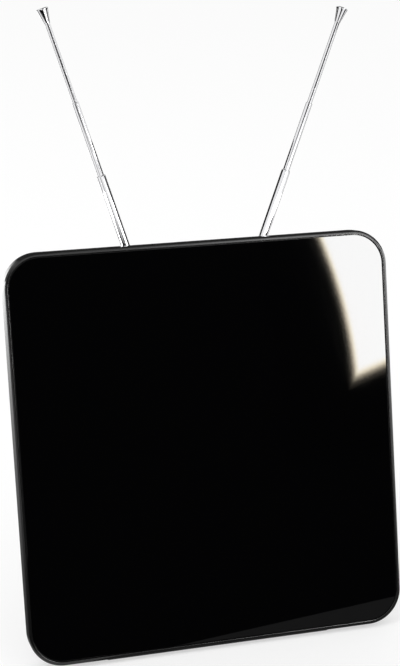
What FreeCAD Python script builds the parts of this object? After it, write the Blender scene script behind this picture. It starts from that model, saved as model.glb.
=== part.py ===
import FreeCAD, Part
import math
import os
import re

import Sketcher

# Indoor television antenna: a black panel that leans on a fold-out stand, with two telescopic rods.
# The panel is drawn upright, X across, Y from its front to its back and Z up from its lower edge,
# and is then leant back about X. Each rod is drawn along Z from its tilt pin and turned to its place.

Vector = FreeCAD.Vector
Rotation = FreeCAD.Rotation
Placement = FreeCAD.Placement
X_AXIS = Vector(1, 0, 0)
Y_AXIS = Vector(0, 1, 0)
Z_AXIS = Vector(0, 0, 1)
SAME_PLACE = 1e-4

doc = FreeCAD.newDocument("indoor_antenna")
sheet = doc.addObject("Spreadsheet::Sheet", "sizes")
finished = []

# Driving dimensions, in millimetres and degrees
SIZES = {
    # Panel and front frame
    "panel_width": 200.0,
    "panel_height": 210.0,
    "corner_radius": 18.0,
    "lean_angle": 12.8,
    "rim_width": 2.0,
    "rim_outer_round": 1.0,
    "rim_inner_round": 0.6,
    "frame_depth": 4.2,
    "face_setback": 0.4,
    "face_thickness": 2.5,
    "face_gap": 0.2,
    "face_bevel": 0.3,
    "ledge_width": 5.0,
    "ledge_corner": 26.0,
    "tongue_clearance": 0.15,
    "tongue_thickness": 1.2,
    "tongue_height": 1.4,
    # Rear cover
    "housing_depth": 12.6,
    "wall": 2.0,
    "back_round": 4.6,
    # Screws that hold the cover to the frame
    "screw_inset": 12.0,
    "screw_seat_depth": 2.6,
    "screw_floor": 1.6,
    "screw_head_radius": 2.7,
    "screw_head_height": 1.8,
    "screw_shank_radius": 1.15,
    "screw_bite": 3.2,
    "screw_boss_radius": 4.6,
    "frame_boss_radius": 3.5,
    "screw_head_room": 0.5,
    "screw_hole_room": 0.4,
    "pilot_room": 0.05,
    "pilot_spare": 0.4,
    # Fold-out stand and its recess
    "hinge_height": 128.0,
    "stand_angle": 26.0,
    "stand_width": 52.0,
    "stand_toe_width": 38.0,
    "stand_shoulder_drop": 12.0,
    "stand_side_gap": 0.8,
    "stand_front_gap": 0.4,
    "stand_back_gap": 0.3,
    "recess_depth": 4.2,
    "recess_head": 6.0,
    "tub_wall": 3.0,
    "tub_floor": 1.2,
    "heel_height": 4.0,
    "heel_gap": 0.12,
    "grip_width": 24.0,
    "grip_height": 11.0,
    "grip_rise": 22.0,
    "grip_round": 5.0,
    "rib_panel_depth": 1.1,
    "rib_margin": 5.0,
    "rib_panel_round": 4.0,
    "stand_pin_radius": 0.9,
    "stand_pin_engagement": 2.4,
    "pin_run_gap": 0.05,
    "pin_press_gap": 0.02,
    "toe_length": 10.0,
    "toe_tongue_thickness": 1.5,
    "toe_tongue_length": 6.5,
    "toe_tongue_inset": 3.0,
    "toe_slip": 0.05,
    # Rubber strip under the lower edge
    "foot_lift": 2.6,
    "foot_front": 4.7,
    "foot_width": 3.3,
    "foot_length": 120.0,
    "foot_end_round": 1.2,
    "peg_radius": 1.1,
    "peg_spacing": 90.0,
    "peg_slip": 0.03,
    # Printed element board
    "board_width": 150.0,
    "board_height": 120.0,
    "board_bottom": 24.0,
    "board_head_gap": 0.4,
    "board_thickness": 1.0,
    "board_corner": 4.0,
    "board_hole_inset": 9.0,
    "board_window_width": 96.0,
    "board_window_height": 34.0,
    "board_window_drop": 22.0,
    "standoff_radius": 3.0,
    "board_screw_radius": 0.9,
    "board_screw_bite": 3.4,
    "board_head_radius": 2.1,
    "board_head_height": 1.3,
    "board_hole_room": 0.3,
    "board_pilot_depth": 4.0,
    # Shield can and the ferrite core under it
    "can_width": 32.0,
    "can_height": 24.0,
    "can_depth": 3.4,
    "can_wall": 0.4,
    "can_x": 54.0,
    "can_z": 84.0,
    "core_width": 13.5,
    "core_height": 7.5,
    "core_depth": 2.4,
    "core_hole_radius": 0.8,
    "core_hole_pitch": 6.0,
    # Screw-on coaxial socket
    "socket_x": 46.0,
    "socket_z": 50.0,
    "thread_radius": 4.7625,
    "thread_length": 8.6,
    "thread_chamfer": 0.5,
    "relief_cut": 0.5625,
    "relief_width": 0.8,
    "hex_flats": 13.0,
    "hex_thickness": 2.4,
    "socket_inner_length": 4.6,
    "socket_wall": 0.8625,
    "socket_hole_room": 0.15,
    "washer_radius": 7.0,
    "washer_thickness": 0.6,
    "nut_thickness": 2.2,
    "nut_run": 0.04,
    "insulator_gap": 0.03,
    "insulator_setback": 0.5,
    "contact_radius": 0.45,
    "contact_gap": 0.05,
    "contact_setback": 4.0,
    "contact_tail": 0.6,
    # Rod swivels
    "pivot_spacing": 50.8,
    "pivot_drop": 32.0,
    "pivot_standoff": 3.6,
    "left_swivel": 16.1,
    "right_swivel": 23.1,
    "barrel_radius": 4.8,
    "barrel_cap": 2.3,
    "barrel_flat": 3.6,
    "barrel_edge": 0.4,
    "shoulder_gap": 0.25,
    "shank_radius": 2.8,
    "shank_run_gap": 0.06,
    "swivel_boss_radius": 6.0,
    "swivel_boss_height": 1.9,
    "swivel_play": 0.1,
    "lug_radius": 4.8,
    "lug_hole_gap": 0.15,
    "lug_thickness": 0.5,
    "lug_tail_width": 3.2,
    "lug_tail_length": 10.5,
    "swivel_washer_radius": 4.5,
    "swivel_washer_thickness": 0.6,
    "swivel_screw_radius": 1.45,
    "swivel_screw_gap": 0.05,
    "swivel_screw_bite": 3.4,
    "swivel_screw_spare": 0.5,
    "swivel_head_radius": 2.6,
    "swivel_head_height": 2.0,
    "lead_radius": 0.5,
    "lead_seat_gap": 0.03,
    "lead_lug_rise": 2.0,
    "lead_board_drop": 3.0,
    # Rod knuckles
    "tongue_radius": 2.4,
    "tongue_half": 2.2,
    "knuckle_thickness": 2.2,
    "slot_gap": 0.1,
    "slot_floor_gap": 0.3,
    "tilt_pin_radius": 0.9,
    "tilt_run_gap": 0.05,
    "rivet_head_radius": 1.6,
    "rivet_head_height": 0.6,
    "collar_start": 5.6,
    "collar_lip": 0.15,
    "collar_length": 1.6,
    "collar_round": 0.3,
    "plug_length": 7.8,
    "plug_gap": 0.04,
    "plug_chamfer": 0.4,
    # Telescopic sections
    "base_reach": 70.4,
    "base_wall": 0.35,
    "base_mouth": 0.8,
    "base_mouth_round": 0.45,
    "middle_play": 0.25,
    "middle_wall": 0.3,
    "middle_length": 52.5,
    "middle_mouth": 0.6,
    "middle_mouth_round": 0.28,
    "slide_gap": 0.06,
    "sleeve_gap": 0.03,
    "sleeve_seat_gap": 0.02,
    "stop_gap": 0.3,
    "left_middle_draw": 38.6,
    "right_middle_draw": 36.9,
    "middle_draw_limit": 38.6,
    "inner_radius": 1.25,
    "inner_play": 0.1,
    "inner_overlap": 7.0,
    "inner_neck_radius": 1.0,
    "left_inner_draw": 41.0,
    "right_inner_draw": 44.4,
    "inner_draw_limit": 44.4,
    "tip_length": 7.8,
    "tip_low_radius": 1.5,
    "tip_top_radius": 3.0,
    "tip_socket_depth": 4.0,
    "tip_top_round": 0.5,
}

# Sizes that follow from the driving ones
DERIVED = {
    "half_width": "panel_width / 2",
    "face_back": "face_setback + face_thickness",
    "face_inset": "rim_width + face_gap",
    "tongue_inset": "wall + tongue_clearance",
    "inner_back": "housing_depth - wall",
    "screw_x": "half_width - screw_inset",
    "screw_seat": "housing_depth - screw_seat_depth",
    "boss_meet": "screw_seat - screw_floor",
    "screw_tip": "boss_meet - screw_bite",
    "pilot_depth": "screw_bite + pilot_spare",
    "recess_floor": "housing_depth - recess_depth",
    "recess_half": "stand_width / 2 + stand_side_gap",
    "recess_top": "hinge_height + recess_head",
    "hinge_depth": "housing_depth - recess_depth / 2",
    "stand_front": "recess_depth / 2 - stand_front_gap",
    "stand_back": "recess_depth / 2 - stand_back_gap",
    "stand_slope": "stand_angle - lean_angle",
    "hinge_over_floor": "hinge_height * cos(lean_angle) - hinge_depth * sin(lean_angle) + foot_lift",
    "stand_reach": "hinge_over_floor / cos(stand_slope)",
    "plate_end": "stand_reach - toe_length",
    "heel_room": "recess_depth / 2 - heel_gap",
    "foot_back": "foot_front + foot_width",
    "foot_middle": "foot_front + foot_width / 2",
    "board_depth": "face_back + board_head_height + board_head_gap",
    "board_back": "board_depth + board_thickness",
    "board_top": "board_bottom + board_height",
    "board_hole_x": "board_width / 2 - board_hole_inset",
    "socket_bore_radius": "thread_radius - socket_wall",
    "relief_radius": "thread_radius - relief_cut",
    "washer_back": "housing_depth + washer_thickness",
    "hex_back": "washer_back + hex_thickness",
    "thread_start": "hex_back + relief_width",
    "thread_end": "thread_start + thread_length",
    "socket_front": "housing_depth - socket_inner_length",
    "pivot_x": "pivot_spacing / 2",
    "pivot_height": "panel_height - pivot_drop",
    "pivot_depth": "housing_depth + pivot_standoff",
    "swivel_boss_face": "inner_back - swivel_boss_height",
    "lug_face": "swivel_boss_face - lug_thickness",
    "shank_end": "lug_face - swivel_play",
    "swivel_washer_face": "shank_end - swivel_washer_thickness",
    "slot_floor": "tongue_radius + slot_floor_gap",
    "slot_width": "knuckle_thickness + 2 * slot_gap",
    "base_start": "collar_start + collar_length",
    "middle_bore": "inner_radius + inner_play",
    "middle_radius": "middle_bore + middle_wall",
    "base_bore": "middle_radius + middle_play",
    "base_radius": "base_bore + base_wall",
    "collar_radius": "base_radius + collar_lip",
    "inner_sleeve_length": "inner_overlap - middle_mouth - stop_gap",
}

for row, (alias, number) in enumerate(SIZES.items(), start=1):
    sheet.set(f"A{row}", str(number))
    sheet.setAlias(f"A{row}", alias)
doc.recompute()


def formula(text):
    """The sheet expression for a text in which sizes and derived sizes are named."""

    def expand(match):
        word = match.group()
        if word in SIZES:
            return "sizes." + word
        if word in DERIVED:
            return "(" + formula(DERIVED[word]) + ")"
        return word

    return re.sub(r"[a-z][a-z_]*", expand, text)


def value(text):
    return float(sheet.evalExpression(formula(text)))


def bind(thing, **properties):
    """Bind the named properties of an object to the sheet."""
    for name, text in properties.items():
        thing.setExpression(name.replace("__", "."), formula(text))


# Sketches


def new_body(label):
    body = doc.addObject("PartDesign::Body", label)
    body.Label = label
    return body


def new_sketch(body, role, offset="0"):
    """A sketch on one of the body's own planes, moved along the plane's normal."""
    sketch = body.newObject("Sketcher::SketchObject", body.Name + "_sketch")
    plane = next(item for item in body.Origin.OriginFeatures if item.Role == role)
    sketch.AttachmentSupport = [(plane, "")]
    sketch.MapMode = "FlatFace"
    bind(sketch, AttachmentOffset__Base__z=offset)
    return sketch


def depth_sketch(body, depth):
    """A sketch parallel to the panel's face, at a depth behind its front."""
    return new_sketch(body, "XZ_Plane", f"-({depth})")


def fix(sketch, kind, geometry, point, text):
    """Hold a point of the sketch at a bound distance from its origin."""
    constraint = Sketcher.Constraint(kind, -1, 1, geometry, point, value(text))
    number = sketch.addConstraint(constraint)
    sketch.setExpression(f"Constraints[{number}]", formula(text))


def fix_radius(sketch, geometry, text):
    number = sketch.addConstraint(Sketcher.Constraint("Radius", geometry, value(text)))
    sketch.setExpression(f"Constraints[{number}]", formula(text))


def polygon(sketch, corners):
    """A closed outline of straight edges through bound corners."""
    points = [Vector(value(across), value(up), 0) for across, up in corners]
    first = sketch.GeometryCount
    count = len(points)
    for i in range(count):
        sketch.addGeometry(Part.LineSegment(points[i], points[(i + 1) % count]), False)
    for i in range(count):
        follower = first + (i + 1) % count
        sketch.addConstraint(Sketcher.Constraint("Coincident", first + i, 2, follower, 1))
    for i, (across, up) in enumerate(corners):
        fix(sketch, "DistanceX", first + i, 1, across)
        fix(sketch, "DistanceY", first + i, 1, up)


def rectangle(sketch, left, low, right, top):
    polygon(sketch, [(left, low), (right, low), (right, top), (left, top)])


def circle(sketch, across, up, radius):
    centre = Vector(value(across), value(up), 0)
    number = sketch.addGeometry(Part.Circle(centre, Z_AXIS, value(radius)), False)
    fix(sketch, "DistanceX", number, 3, across)
    fix(sketch, "DistanceY", number, 3, up)
    fix_radius(sketch, number, radius)


def rounded_rectangle(sketch, left, low, right, top, radius):
    """A rectangle whose corners are arcs, each centred one radius in from its two sides."""
    first = sketch.GeometryCount
    turn = math.pi / 2
    near = {"x": [right, left, left, right], "z": [top, top, low, low]}
    inward = {"x": ["-", "+", "+", "-"], "z": ["-", "-", "+", "+"]}
    centres = []
    for i in range(4):
        across = f"({near['x'][i]}) {inward['x'][i]} ({radius})"
        up = f"({near['z'][i]}) {inward['z'][i]} ({radius})"
        centres.append((across, up))
        middle = Vector(value(across), value(up), 0)
        round_corner = Part.Circle(middle, Z_AXIS, value(radius))
        arc = Part.ArcOfCircle(round_corner, i * turn, (i + 1) * turn)
        sketch.addGeometry(arc, False)
    for i in range(4):
        start = sketch.getPoint(first + i, 2)
        end = sketch.getPoint(first + (i + 1) % 4, 1)
        sketch.addGeometry(Part.LineSegment(start, end), False)
    for i in range(4):
        side = first + 4 + i
        sketch.addConstraint(Sketcher.Constraint("Tangent", first + i, 2, side, 1))
        sketch.addConstraint(Sketcher.Constraint("Tangent", side, 2, first + (i + 1) % 4, 1))
    for i in range(3):
        sketch.addConstraint(Sketcher.Constraint("Equal", first, first + i + 1))
    fix_radius(sketch, first, radius)
    fix(sketch, "DistanceX", first, 3, centres[0][0])
    fix(sketch, "DistanceY", first, 3, centres[0][1])
    fix(sketch, "DistanceX", first + 2, 3, centres[2][0])
    fix(sketch, "DistanceY", first + 2, 3, centres[2][1])
    sketch.addConstraint(Sketcher.Constraint("Horizontal", first + 4))
    sketch.addConstraint(Sketcher.Constraint("Vertical", first + 5))


def panel_outline(sketch, inset, radius="corner_radius"):
    """The panel's outline, drawn in by an inset; its corners stay concentric."""
    corner = f"({radius}) - ({inset})" if radius == "corner_radius" else radius
    left = f"-half_width + ({inset})"
    right = f"half_width - ({inset})"
    rounded_rectangle(sketch, left, inset, right, f"panel_height - ({inset})", corner)


# Features


def pad(body, sketch, length, towards_back=False, both_ways=False):
    feature = body.newObject("PartDesign::Pad", body.Name + "_pad")
    feature.Profile = sketch
    bind(feature, Length=length)
    feature.Reversed = towards_back
    feature.Midplane = both_ways
    doc.recompute()
    return feature


def pocket(body, sketch, length, towards_back=False, both_ways=False):
    """A cut that has to take material away."""
    before = body.Tip.Shape.Volume
    feature = body.newObject("PartDesign::Pocket", body.Name + "_pocket")
    feature.Profile = sketch
    bind(feature, Length=length)
    feature.Reversed = not towards_back
    feature.Midplane = both_ways
    doc.recompute()
    if feature.Shape.Volume >= before:
        raise RuntimeError(f"a pocket of {body.Label} cuts nothing")
    return feature


def revolve(body, sketch, axis):
    feature = body.newObject("PartDesign::Revolution", body.Name + "_turn")
    feature.Profile = sketch
    feature.ReferenceAxis = (sketch, [axis])
    feature.Angle = 360
    doc.recompute()
    return feature


def dress(body, kind, size_property, text, wanted):
    """A fillet or chamfer on the edges that a test picks out."""
    base = body.Tip
    edges = [f"Edge{i}" for i, edge in enumerate(base.Shape.Edges, start=1) if wanted(edge)]
    if not edges:
        raise RuntimeError(f"{body.Label} has no edge to dress")
    feature = body.newObject("PartDesign::" + kind, body.Name + "_" + kind.lower())
    feature.Base = (base, edges)
    bind(feature, **{size_property: text})
    doc.recompute()
    return feature


def flat_at(axis, text):
    """A test for edges that lie in one plane across an axis."""
    place = value(text)

    def test(edge):
        low = getattr(edge.BoundBox, axis + "Min")
        high = getattr(edge.BoundBox, axis + "Max")
        return abs(low - place) < SAME_PLACE and abs(high - place) < SAME_PLACE

    return test


def rim_at(axis, text, radius):
    """A test for full circles of one radius in one plane across an axis."""
    in_plane = flat_at(axis, text)
    wanted = value(radius)

    def test(edge):
        return in_plane(edge) and abs(getattr(edge.Curve, "Radius", 0) - wanted) < SAME_PLACE

    return test


def along(direction):
    """A test for straight edges that run one way."""

    def test(edge):
        run = edge.tangentAt(edge.FirstParameter)
        return edge.Curve.TypeId == "Part::GeomLine" and run.cross(direction).Length < SAME_PLACE

    return test


def turned(label, plane, axis, corners):
    """A turned piece: an outline beside an axis of its sketch, swept round that axis."""
    body = new_body(label)
    sketch = new_sketch(body, plane)
    polygon(sketch, corners)
    revolve(body, sketch, axis)
    return body


def cylinder(name, radius, height, place, direction):
    """A plain cylinder from a place along a direction, in the panel's own frame."""
    feature = doc.addObject("Part::Cylinder", name)
    bind(feature, Radius=radius, Height=height)
    spot = Vector(*[value(text) for text in place])
    feature.Placement = Placement(spot, Rotation(Z_AXIS, direction))
    return feature


def box(name, width, depth, height, corner):
    feature = doc.addObject("Part::Box", name)
    bind(feature, Length=width, Width=depth, Height=height)
    feature.Placement = Placement(Vector(*[value(text) for text in corner]), Rotation())
    return feature


# Places

foot_height = value("foot_middle * tan(lean_angle) - foot_lift / cos(lean_angle)")
foot_point = Vector(0, value("foot_middle"), foot_height)
lean = Rotation(X_AXIS, -value("lean_angle"))
panel = Placement(-lean.multVec(foot_point), lean)


def finish(feature, placement=panel):
    """Put a finished sub-part in its place and list it for writing."""
    doc.recompute()
    feature.Placement = placement.multiply(feature.Placement)
    finished.append(feature)
    return feature


# Front panel: a sheet of black acrylic with a fine bevel
face = new_body("front_panel")
face_sketch = depth_sketch(face, "face_setback")
panel_outline(face_sketch, "face_inset")
pad(face, face_sketch, "face_thickness", towards_back=True)
dress(face, "Chamfer", "Size", "face_bevel", flat_at("Y", "face_setback"))
finish(face)

# Front frame: a rounded rim, a ledge that carries the panel, a locating tongue and screw bosses
SCREW_SPOTS = [
    (f"{side}screw_x", height)
    for side in ("-", "")
    for height in ("screw_inset", "panel_height - screw_inset")
]
frame = new_body("front_frame")
rim_sketch = depth_sketch(frame, "0")
panel_outline(rim_sketch, "0")
panel_outline(rim_sketch, "rim_width")
pad(frame, rim_sketch, "frame_depth", towards_back=True)
ledge_sketch = depth_sketch(frame, "face_back")
panel_outline(ledge_sketch, "rim_width / 2")
panel_outline(ledge_sketch, "rim_width + ledge_width", "ledge_corner")
pad(frame, ledge_sketch, "frame_depth - face_back", towards_back=True)
tongue_sketch = depth_sketch(frame, "frame_depth")
panel_outline(tongue_sketch, "tongue_inset")
panel_outline(tongue_sketch, "tongue_inset + tongue_thickness")
pad(frame, tongue_sketch, "tongue_height", towards_back=True)
boss_sketch = depth_sketch(frame, "face_back")
for across, up in SCREW_SPOTS:
    circle(boss_sketch, across, up, "frame_boss_radius")
pad(frame, boss_sketch, "boss_meet - face_back", towards_back=True)
pilot_sketch = depth_sketch(frame, "boss_meet")
for across, up in SCREW_SPOTS:
    circle(pilot_sketch, across, up, "screw_shank_radius + pilot_room")
pocket(frame, pilot_sketch, "pilot_depth")


def front_outline(inset):
    """A test for front edges of the panel's outline, drawn in by an inset."""
    at_front = flat_at("Y", "0")
    reach = value(f"half_width - ({inset})")
    low = value(inset)
    high = value(f"panel_height - ({inset})")

    def test(edge):
        span = edge.BoundBox
        gaps = (span.XMin + reach, span.XMax - reach, span.ZMin - low, span.ZMax - high)
        return at_front(edge) and min(abs(gap) for gap in gaps) < SAME_PLACE

    return test


dress(frame, "Fillet", "Radius", "rim_outer_round", front_outline("0"))
dress(frame, "Fillet", "Radius", "rim_inner_round", front_outline("rim_width"))
finish(frame)

# Rear cover: a moulded tray with a rounded back edge, the stand's recess, bosses and holes
cover = new_body("rear_cover")
shell_sketch = depth_sketch(cover, "frame_depth")
panel_outline(shell_sketch, "0")
pad(cover, shell_sketch, "housing_depth - frame_depth", towards_back=True)
dress(cover, "Fillet", "Radius", "back_round", flat_at("Y", "housing_depth"))
hollow_sketch = depth_sketch(cover, "frame_depth")
panel_outline(hollow_sketch, "wall")
pocket(cover, hollow_sketch, "inner_back - frame_depth", towards_back=True)
dress(cover, "Fillet", "Radius", "back_round - wall", flat_at("Y", "inner_back"))

tub_sketch = depth_sketch(cover, "recess_floor - tub_floor")
tub_side = "recess_half + tub_wall"
rectangle(tub_sketch, f"-({tub_side})", "wall", tub_side, "recess_top + tub_wall")
pad(cover, tub_sketch, "inner_back - recess_floor + tub_floor", towards_back=True)

PIVOTS = [("-pivot_x", "pivot_height"), ("pivot_x", "pivot_height")]
BOARD_SPOTS = [
    (f"{side}board_hole_x", height)
    for side in ("-", "")
    for height in ("board_bottom + board_hole_inset", "board_top - board_hole_inset")
]
BOSSES = (
    (SCREW_SPOTS, "screw_boss_radius", "boss_meet"),
    (PIVOTS, "swivel_boss_radius", "swivel_boss_face"),
    (BOARD_SPOTS, "standoff_radius", "board_back"),
)
for spots, radius, start in BOSSES:
    sketch = depth_sketch(cover, start)
    for across, up in spots:
        circle(sketch, across, up, radius)
    pad(cover, sketch, f"inner_back + wall / 2 - ({start})", towards_back=True)

recess_sketch = depth_sketch(cover, "housing_depth")
rectangle(recess_sketch, "-recess_half", "-wall", "recess_half", "recess_top")
pocket(cover, recess_sketch, "recess_depth")
SOCKET_SPOT = [("socket_x", "socket_z")]
HOLES = (
    (SCREW_SPOTS, "screw_head_radius + screw_head_room", "screw_seat_depth"),
    (SCREW_SPOTS, "screw_shank_radius + screw_hole_room", "housing_depth - boss_meet"),
    (PIVOTS, "shank_radius + shank_run_gap", "housing_depth - swivel_boss_face"),
    (SOCKET_SPOT, "thread_radius + socket_hole_room", "wall"),
)
for spots, radius, length in HOLES:
    sketch = depth_sketch(cover, "housing_depth")
    for across, up in spots:
        circle(sketch, across, up, radius)
    pocket(cover, sketch, length)
pilot_sketch = depth_sketch(cover, "board_back")
for across, up in BOARD_SPOTS:
    circle(pilot_sketch, across, up, "board_screw_radius + pilot_room")
pocket(cover, pilot_sketch, "board_pilot_depth", towards_back=True)
hinge_sketch = new_sketch(cover, "YZ_Plane")
circle(hinge_sketch, "hinge_depth", "hinge_height", "stand_pin_radius + pin_press_gap")
pocket(cover, hinge_sketch, "2 * (recess_half + stand_pin_engagement)", both_ways=True)
PEGS = [("-peg_spacing / 2", "foot_middle"), ("peg_spacing / 2", "foot_middle")]
peg_hole_sketch = new_sketch(cover, "XY_Plane")
for across, back in PEGS:
    circle(peg_hole_sketch, across, back, "peg_radius + peg_slip")
pocket(cover, peg_hole_sketch, "wall")
finish(cover)


# Fasteners: a head and a shank turned in one piece, and each set kept as one group
def screw_group(label, spots, head_radius, head_height, shank_radius, shank_length, seat, points_forward):
    """Pan-head screws along Y; a screw that points forward has its head behind its seat."""
    screws = []
    towards_head = Y_AXIS if points_forward else -Y_AXIS
    for number, (across, up) in enumerate(spots, start=1):
        place = (across, seat, up)
        head = cylinder(f"{label}_head_{number}", head_radius, head_height, place, towards_head)
        shank = cylinder(f"{label}_shank_{number}", shank_radius, shank_length, place, -towards_head)
        screw = doc.addObject("Part::Fuse", f"{label}_{number}")
        screw.Base = head
        screw.Tool = shank
        screws.append(screw)
    group = doc.addObject("Part::Compound", label)
    group.Label = label
    group.Links = screws
    return finish(group)


screw_group(
    "case_screws", SCREW_SPOTS, "screw_head_radius", "screw_head_height",
    "screw_shank_radius", "screw_seat - screw_tip", "screw_seat", True,
)
screw_group(
    "board_screws", BOARD_SPOTS, "board_head_radius", "board_head_height",
    "board_screw_radius", "board_thickness + board_screw_bite", "board_depth", False,
)

# Foot strip: a rubber wedge pegged under the lower edge, flat on the floor when the panel leans
strip = new_body("foot_strip")
strip_sketch = new_sketch(strip, "YZ_Plane")
floor_line = "({}) * tan(lean_angle) - foot_lift / cos(lean_angle)"
polygon(strip_sketch, [
    ("foot_front", floor_line.format("foot_front")),
    ("foot_back", floor_line.format("foot_back")),
    ("foot_back", "0"),
    ("foot_front", "0"),
])
pad(strip, strip_sketch, "foot_length", both_ways=True)
dress(strip, "Fillet", "Radius", "foot_end_round", along(Z_AXIS))
peg_sketch = new_sketch(strip, "XY_Plane")
for across, back in PEGS:
    circle(peg_sketch, across, back, "peg_radius")
pad(strip, peg_sketch, "wall")
finish(strip)

# Stand: a tapered moulded leg that folds into the recess and opens until its heel meets the floor of it
hinge_spot = Vector(0, value("hinge_depth"), value("hinge_height"))
hinge = Placement(hinge_spot, Rotation(X_AXIS, value("stand_angle")))
opened = panel.multiply(hinge)
HEEL_LINE = "(({}) * sin(stand_angle) - heel_room) / cos(stand_angle)"
heel_foot = "(heel_room - stand_front * cos(stand_angle)) / sin(stand_angle)"
leg = new_body("stand_leg")
leg_sketch = new_sketch(leg, "YZ_Plane")
polygon(leg_sketch, [
    ("-stand_front", "-plate_end"),
    ("stand_back", "-plate_end"),
    ("stand_back", "heel_height"),
    (HEEL_LINE.format("heel_height"), "heel_height"),
    ("-stand_front", heel_foot),
])
circle(leg_sketch, "0", "0", "stand_pin_radius + pin_run_gap")
pad(leg, leg_sketch, "stand_width", both_ways=True)
taper_sketch = new_sketch(leg, "XZ_Plane", "-stand_back")
for side in ("-", ""):
    polygon(taper_sketch, [
        (f"{side}stand_width / 2", "-stand_shoulder_drop"),
        (f"{side}stand_toe_width / 2", "-plate_end"),
        (f"{side}stand_toe_width / 2", "-plate_end - toe_length"),
        (f"{side}(stand_width / 2 + wall)", "-plate_end - toe_length"),
        (f"{side}(stand_width / 2 + wall)", "-stand_shoulder_drop"),
    ])
pocket(leg, taper_sketch, "recess_depth")
tongue_sketch = new_sketch(leg, "XZ_Plane", "-toe_tongue_thickness / 2")
toe_tongue_half = "stand_toe_width / 2 - toe_tongue_inset"
rectangle(
    tongue_sketch, f"-({toe_tongue_half})", "-plate_end - toe_tongue_length",
    toe_tongue_half, "-plate_end + toe_tongue_length / 2",
)
pad(leg, tongue_sketch, "toe_tongue_thickness")
grip_sketch = new_sketch(leg, "XZ_Plane", "-stand_back")
rounded_rectangle(
    grip_sketch, "-grip_width / 2", "grip_rise - plate_end",
    "grip_width / 2", "grip_rise + grip_height - plate_end", "grip_round",
)
pocket(leg, grip_sketch, "recess_depth")
rib_sketch = new_sketch(leg, "XZ_Plane", "-stand_back")
rounded_rectangle(
    rib_sketch, "-stand_toe_width / 2 + rib_margin", "grip_rise + grip_height + rib_margin - plate_end",
    "stand_toe_width / 2 - rib_margin", "-stand_shoulder_drop", "rib_panel_round",
)
pocket(leg, rib_sketch, "rib_panel_depth")
finish(leg, opened)

# Toe: a rubber shoe slipped on the leg's tongue, flat on the floor when the stand is open
toe = new_body("stand_toe")
toe_sketch = new_sketch(toe, "YZ_Plane")
toe_line = "-stand_reach - ({}) * tan(stand_slope)"
polygon(toe_sketch, [
    ("-stand_front", toe_line.format("-stand_front")),
    ("stand_back", toe_line.format("stand_back")),
    ("stand_back", "-plate_end"),
    ("-stand_front", "-plate_end"),
])
pad(toe, toe_sketch, "stand_toe_width", both_ways=True)
slot_sketch = new_sketch(toe, "XZ_Plane", "-toe_tongue_thickness / 2 - toe_slip")
rectangle(
    slot_sketch, f"-({toe_tongue_half}) - toe_slip", "-plate_end - toe_tongue_length - toe_slip",
    f"{toe_tongue_half} + toe_slip", "toe_length - plate_end",
)
pocket(toe, slot_sketch, "toe_tongue_thickness + 2 * toe_slip")
finish(toe, opened)

# Stand pin: a steel rod pressed into the recess walls
stand_pin = cylinder(
    "stand_pin", "stand_pin_radius", "2 * (recess_half + stand_pin_engagement)",
    ("-recess_half - stand_pin_engagement", "hinge_depth", "hinge_height"), X_AXIS,
)
finish(stand_pin)

# Element board: a printed loop on a glass-fibre board, screwed to the cover's standoffs
board = new_body("element_board")
board_sketch = depth_sketch(board, "board_depth")
board_half = "board_width / 2"
rounded_rectangle(board_sketch, f"-{board_half}", "board_bottom", board_half, "board_top", "board_corner")
window_top = "board_top - board_window_drop"
rounded_rectangle(
    board_sketch, "-board_window_width / 2", f"{window_top} - board_window_height",
    "board_window_width / 2", window_top, "board_corner",
)
for across, up in BOARD_SPOTS:
    circle(board_sketch, across, up, "board_screw_radius + board_hole_room")
circle(board_sketch, "socket_x", "socket_z", "contact_radius + contact_gap")
pad(board, board_sketch, "board_thickness", towards_back=True)
finish(board)

# Shield can: a folded tin box on the board, over the two-hole ferrite core of the matching transformer
can_block = box(
    "can_block", "can_width", "can_depth", "can_height",
    ("can_x - can_width / 2", "board_back", "can_z - can_height / 2"),
)
can_hollow = box(
    "can_hollow", "can_width - 2 * can_wall", "can_depth - can_wall", "can_height - 2 * can_wall",
    ("can_x - can_width / 2 + can_wall", "board_back", "can_z - can_height / 2 + can_wall"),
)
can = doc.addObject("Part::Cut", "shield_can")
can.Base = can_block
can.Tool = can_hollow
finish(can)
core_block = box(
    "core_block", "core_width", "core_depth", "core_height",
    ("can_x - core_width / 2", "board_back", "can_z - core_height / 2"),
)
core_holes = doc.addObject("Part::Compound", "core_holes")
core_holes.Links = [
    cylinder(
        f"core_hole_{number}", "core_hole_radius", "core_height",
        (f"can_x {side} core_hole_pitch / 2", "board_back + core_depth / 2", "can_z - core_height / 2"),
        Z_AXIS,
    )
    for number, side in enumerate("-+", start=1)
]
core = doc.addObject("Part::Cut", "balun_core")
core.Base = core_block
core.Tool = core_holes
finish(core)

# Coaxial socket: a turned body with a hexagon outside the cover and a nut inside it
socket_place = panel.multiply(Placement(Vector(value("socket_x"), 0, value("socket_z")), Rotation()))


def hexagon(sketch, flats):
    corner = f"({flats}) / sqrt(3)"
    polygon(sketch, [(f"{corner} * cos({60 * i})", f"{corner} * sin({60 * i})") for i in range(6)])


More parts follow.
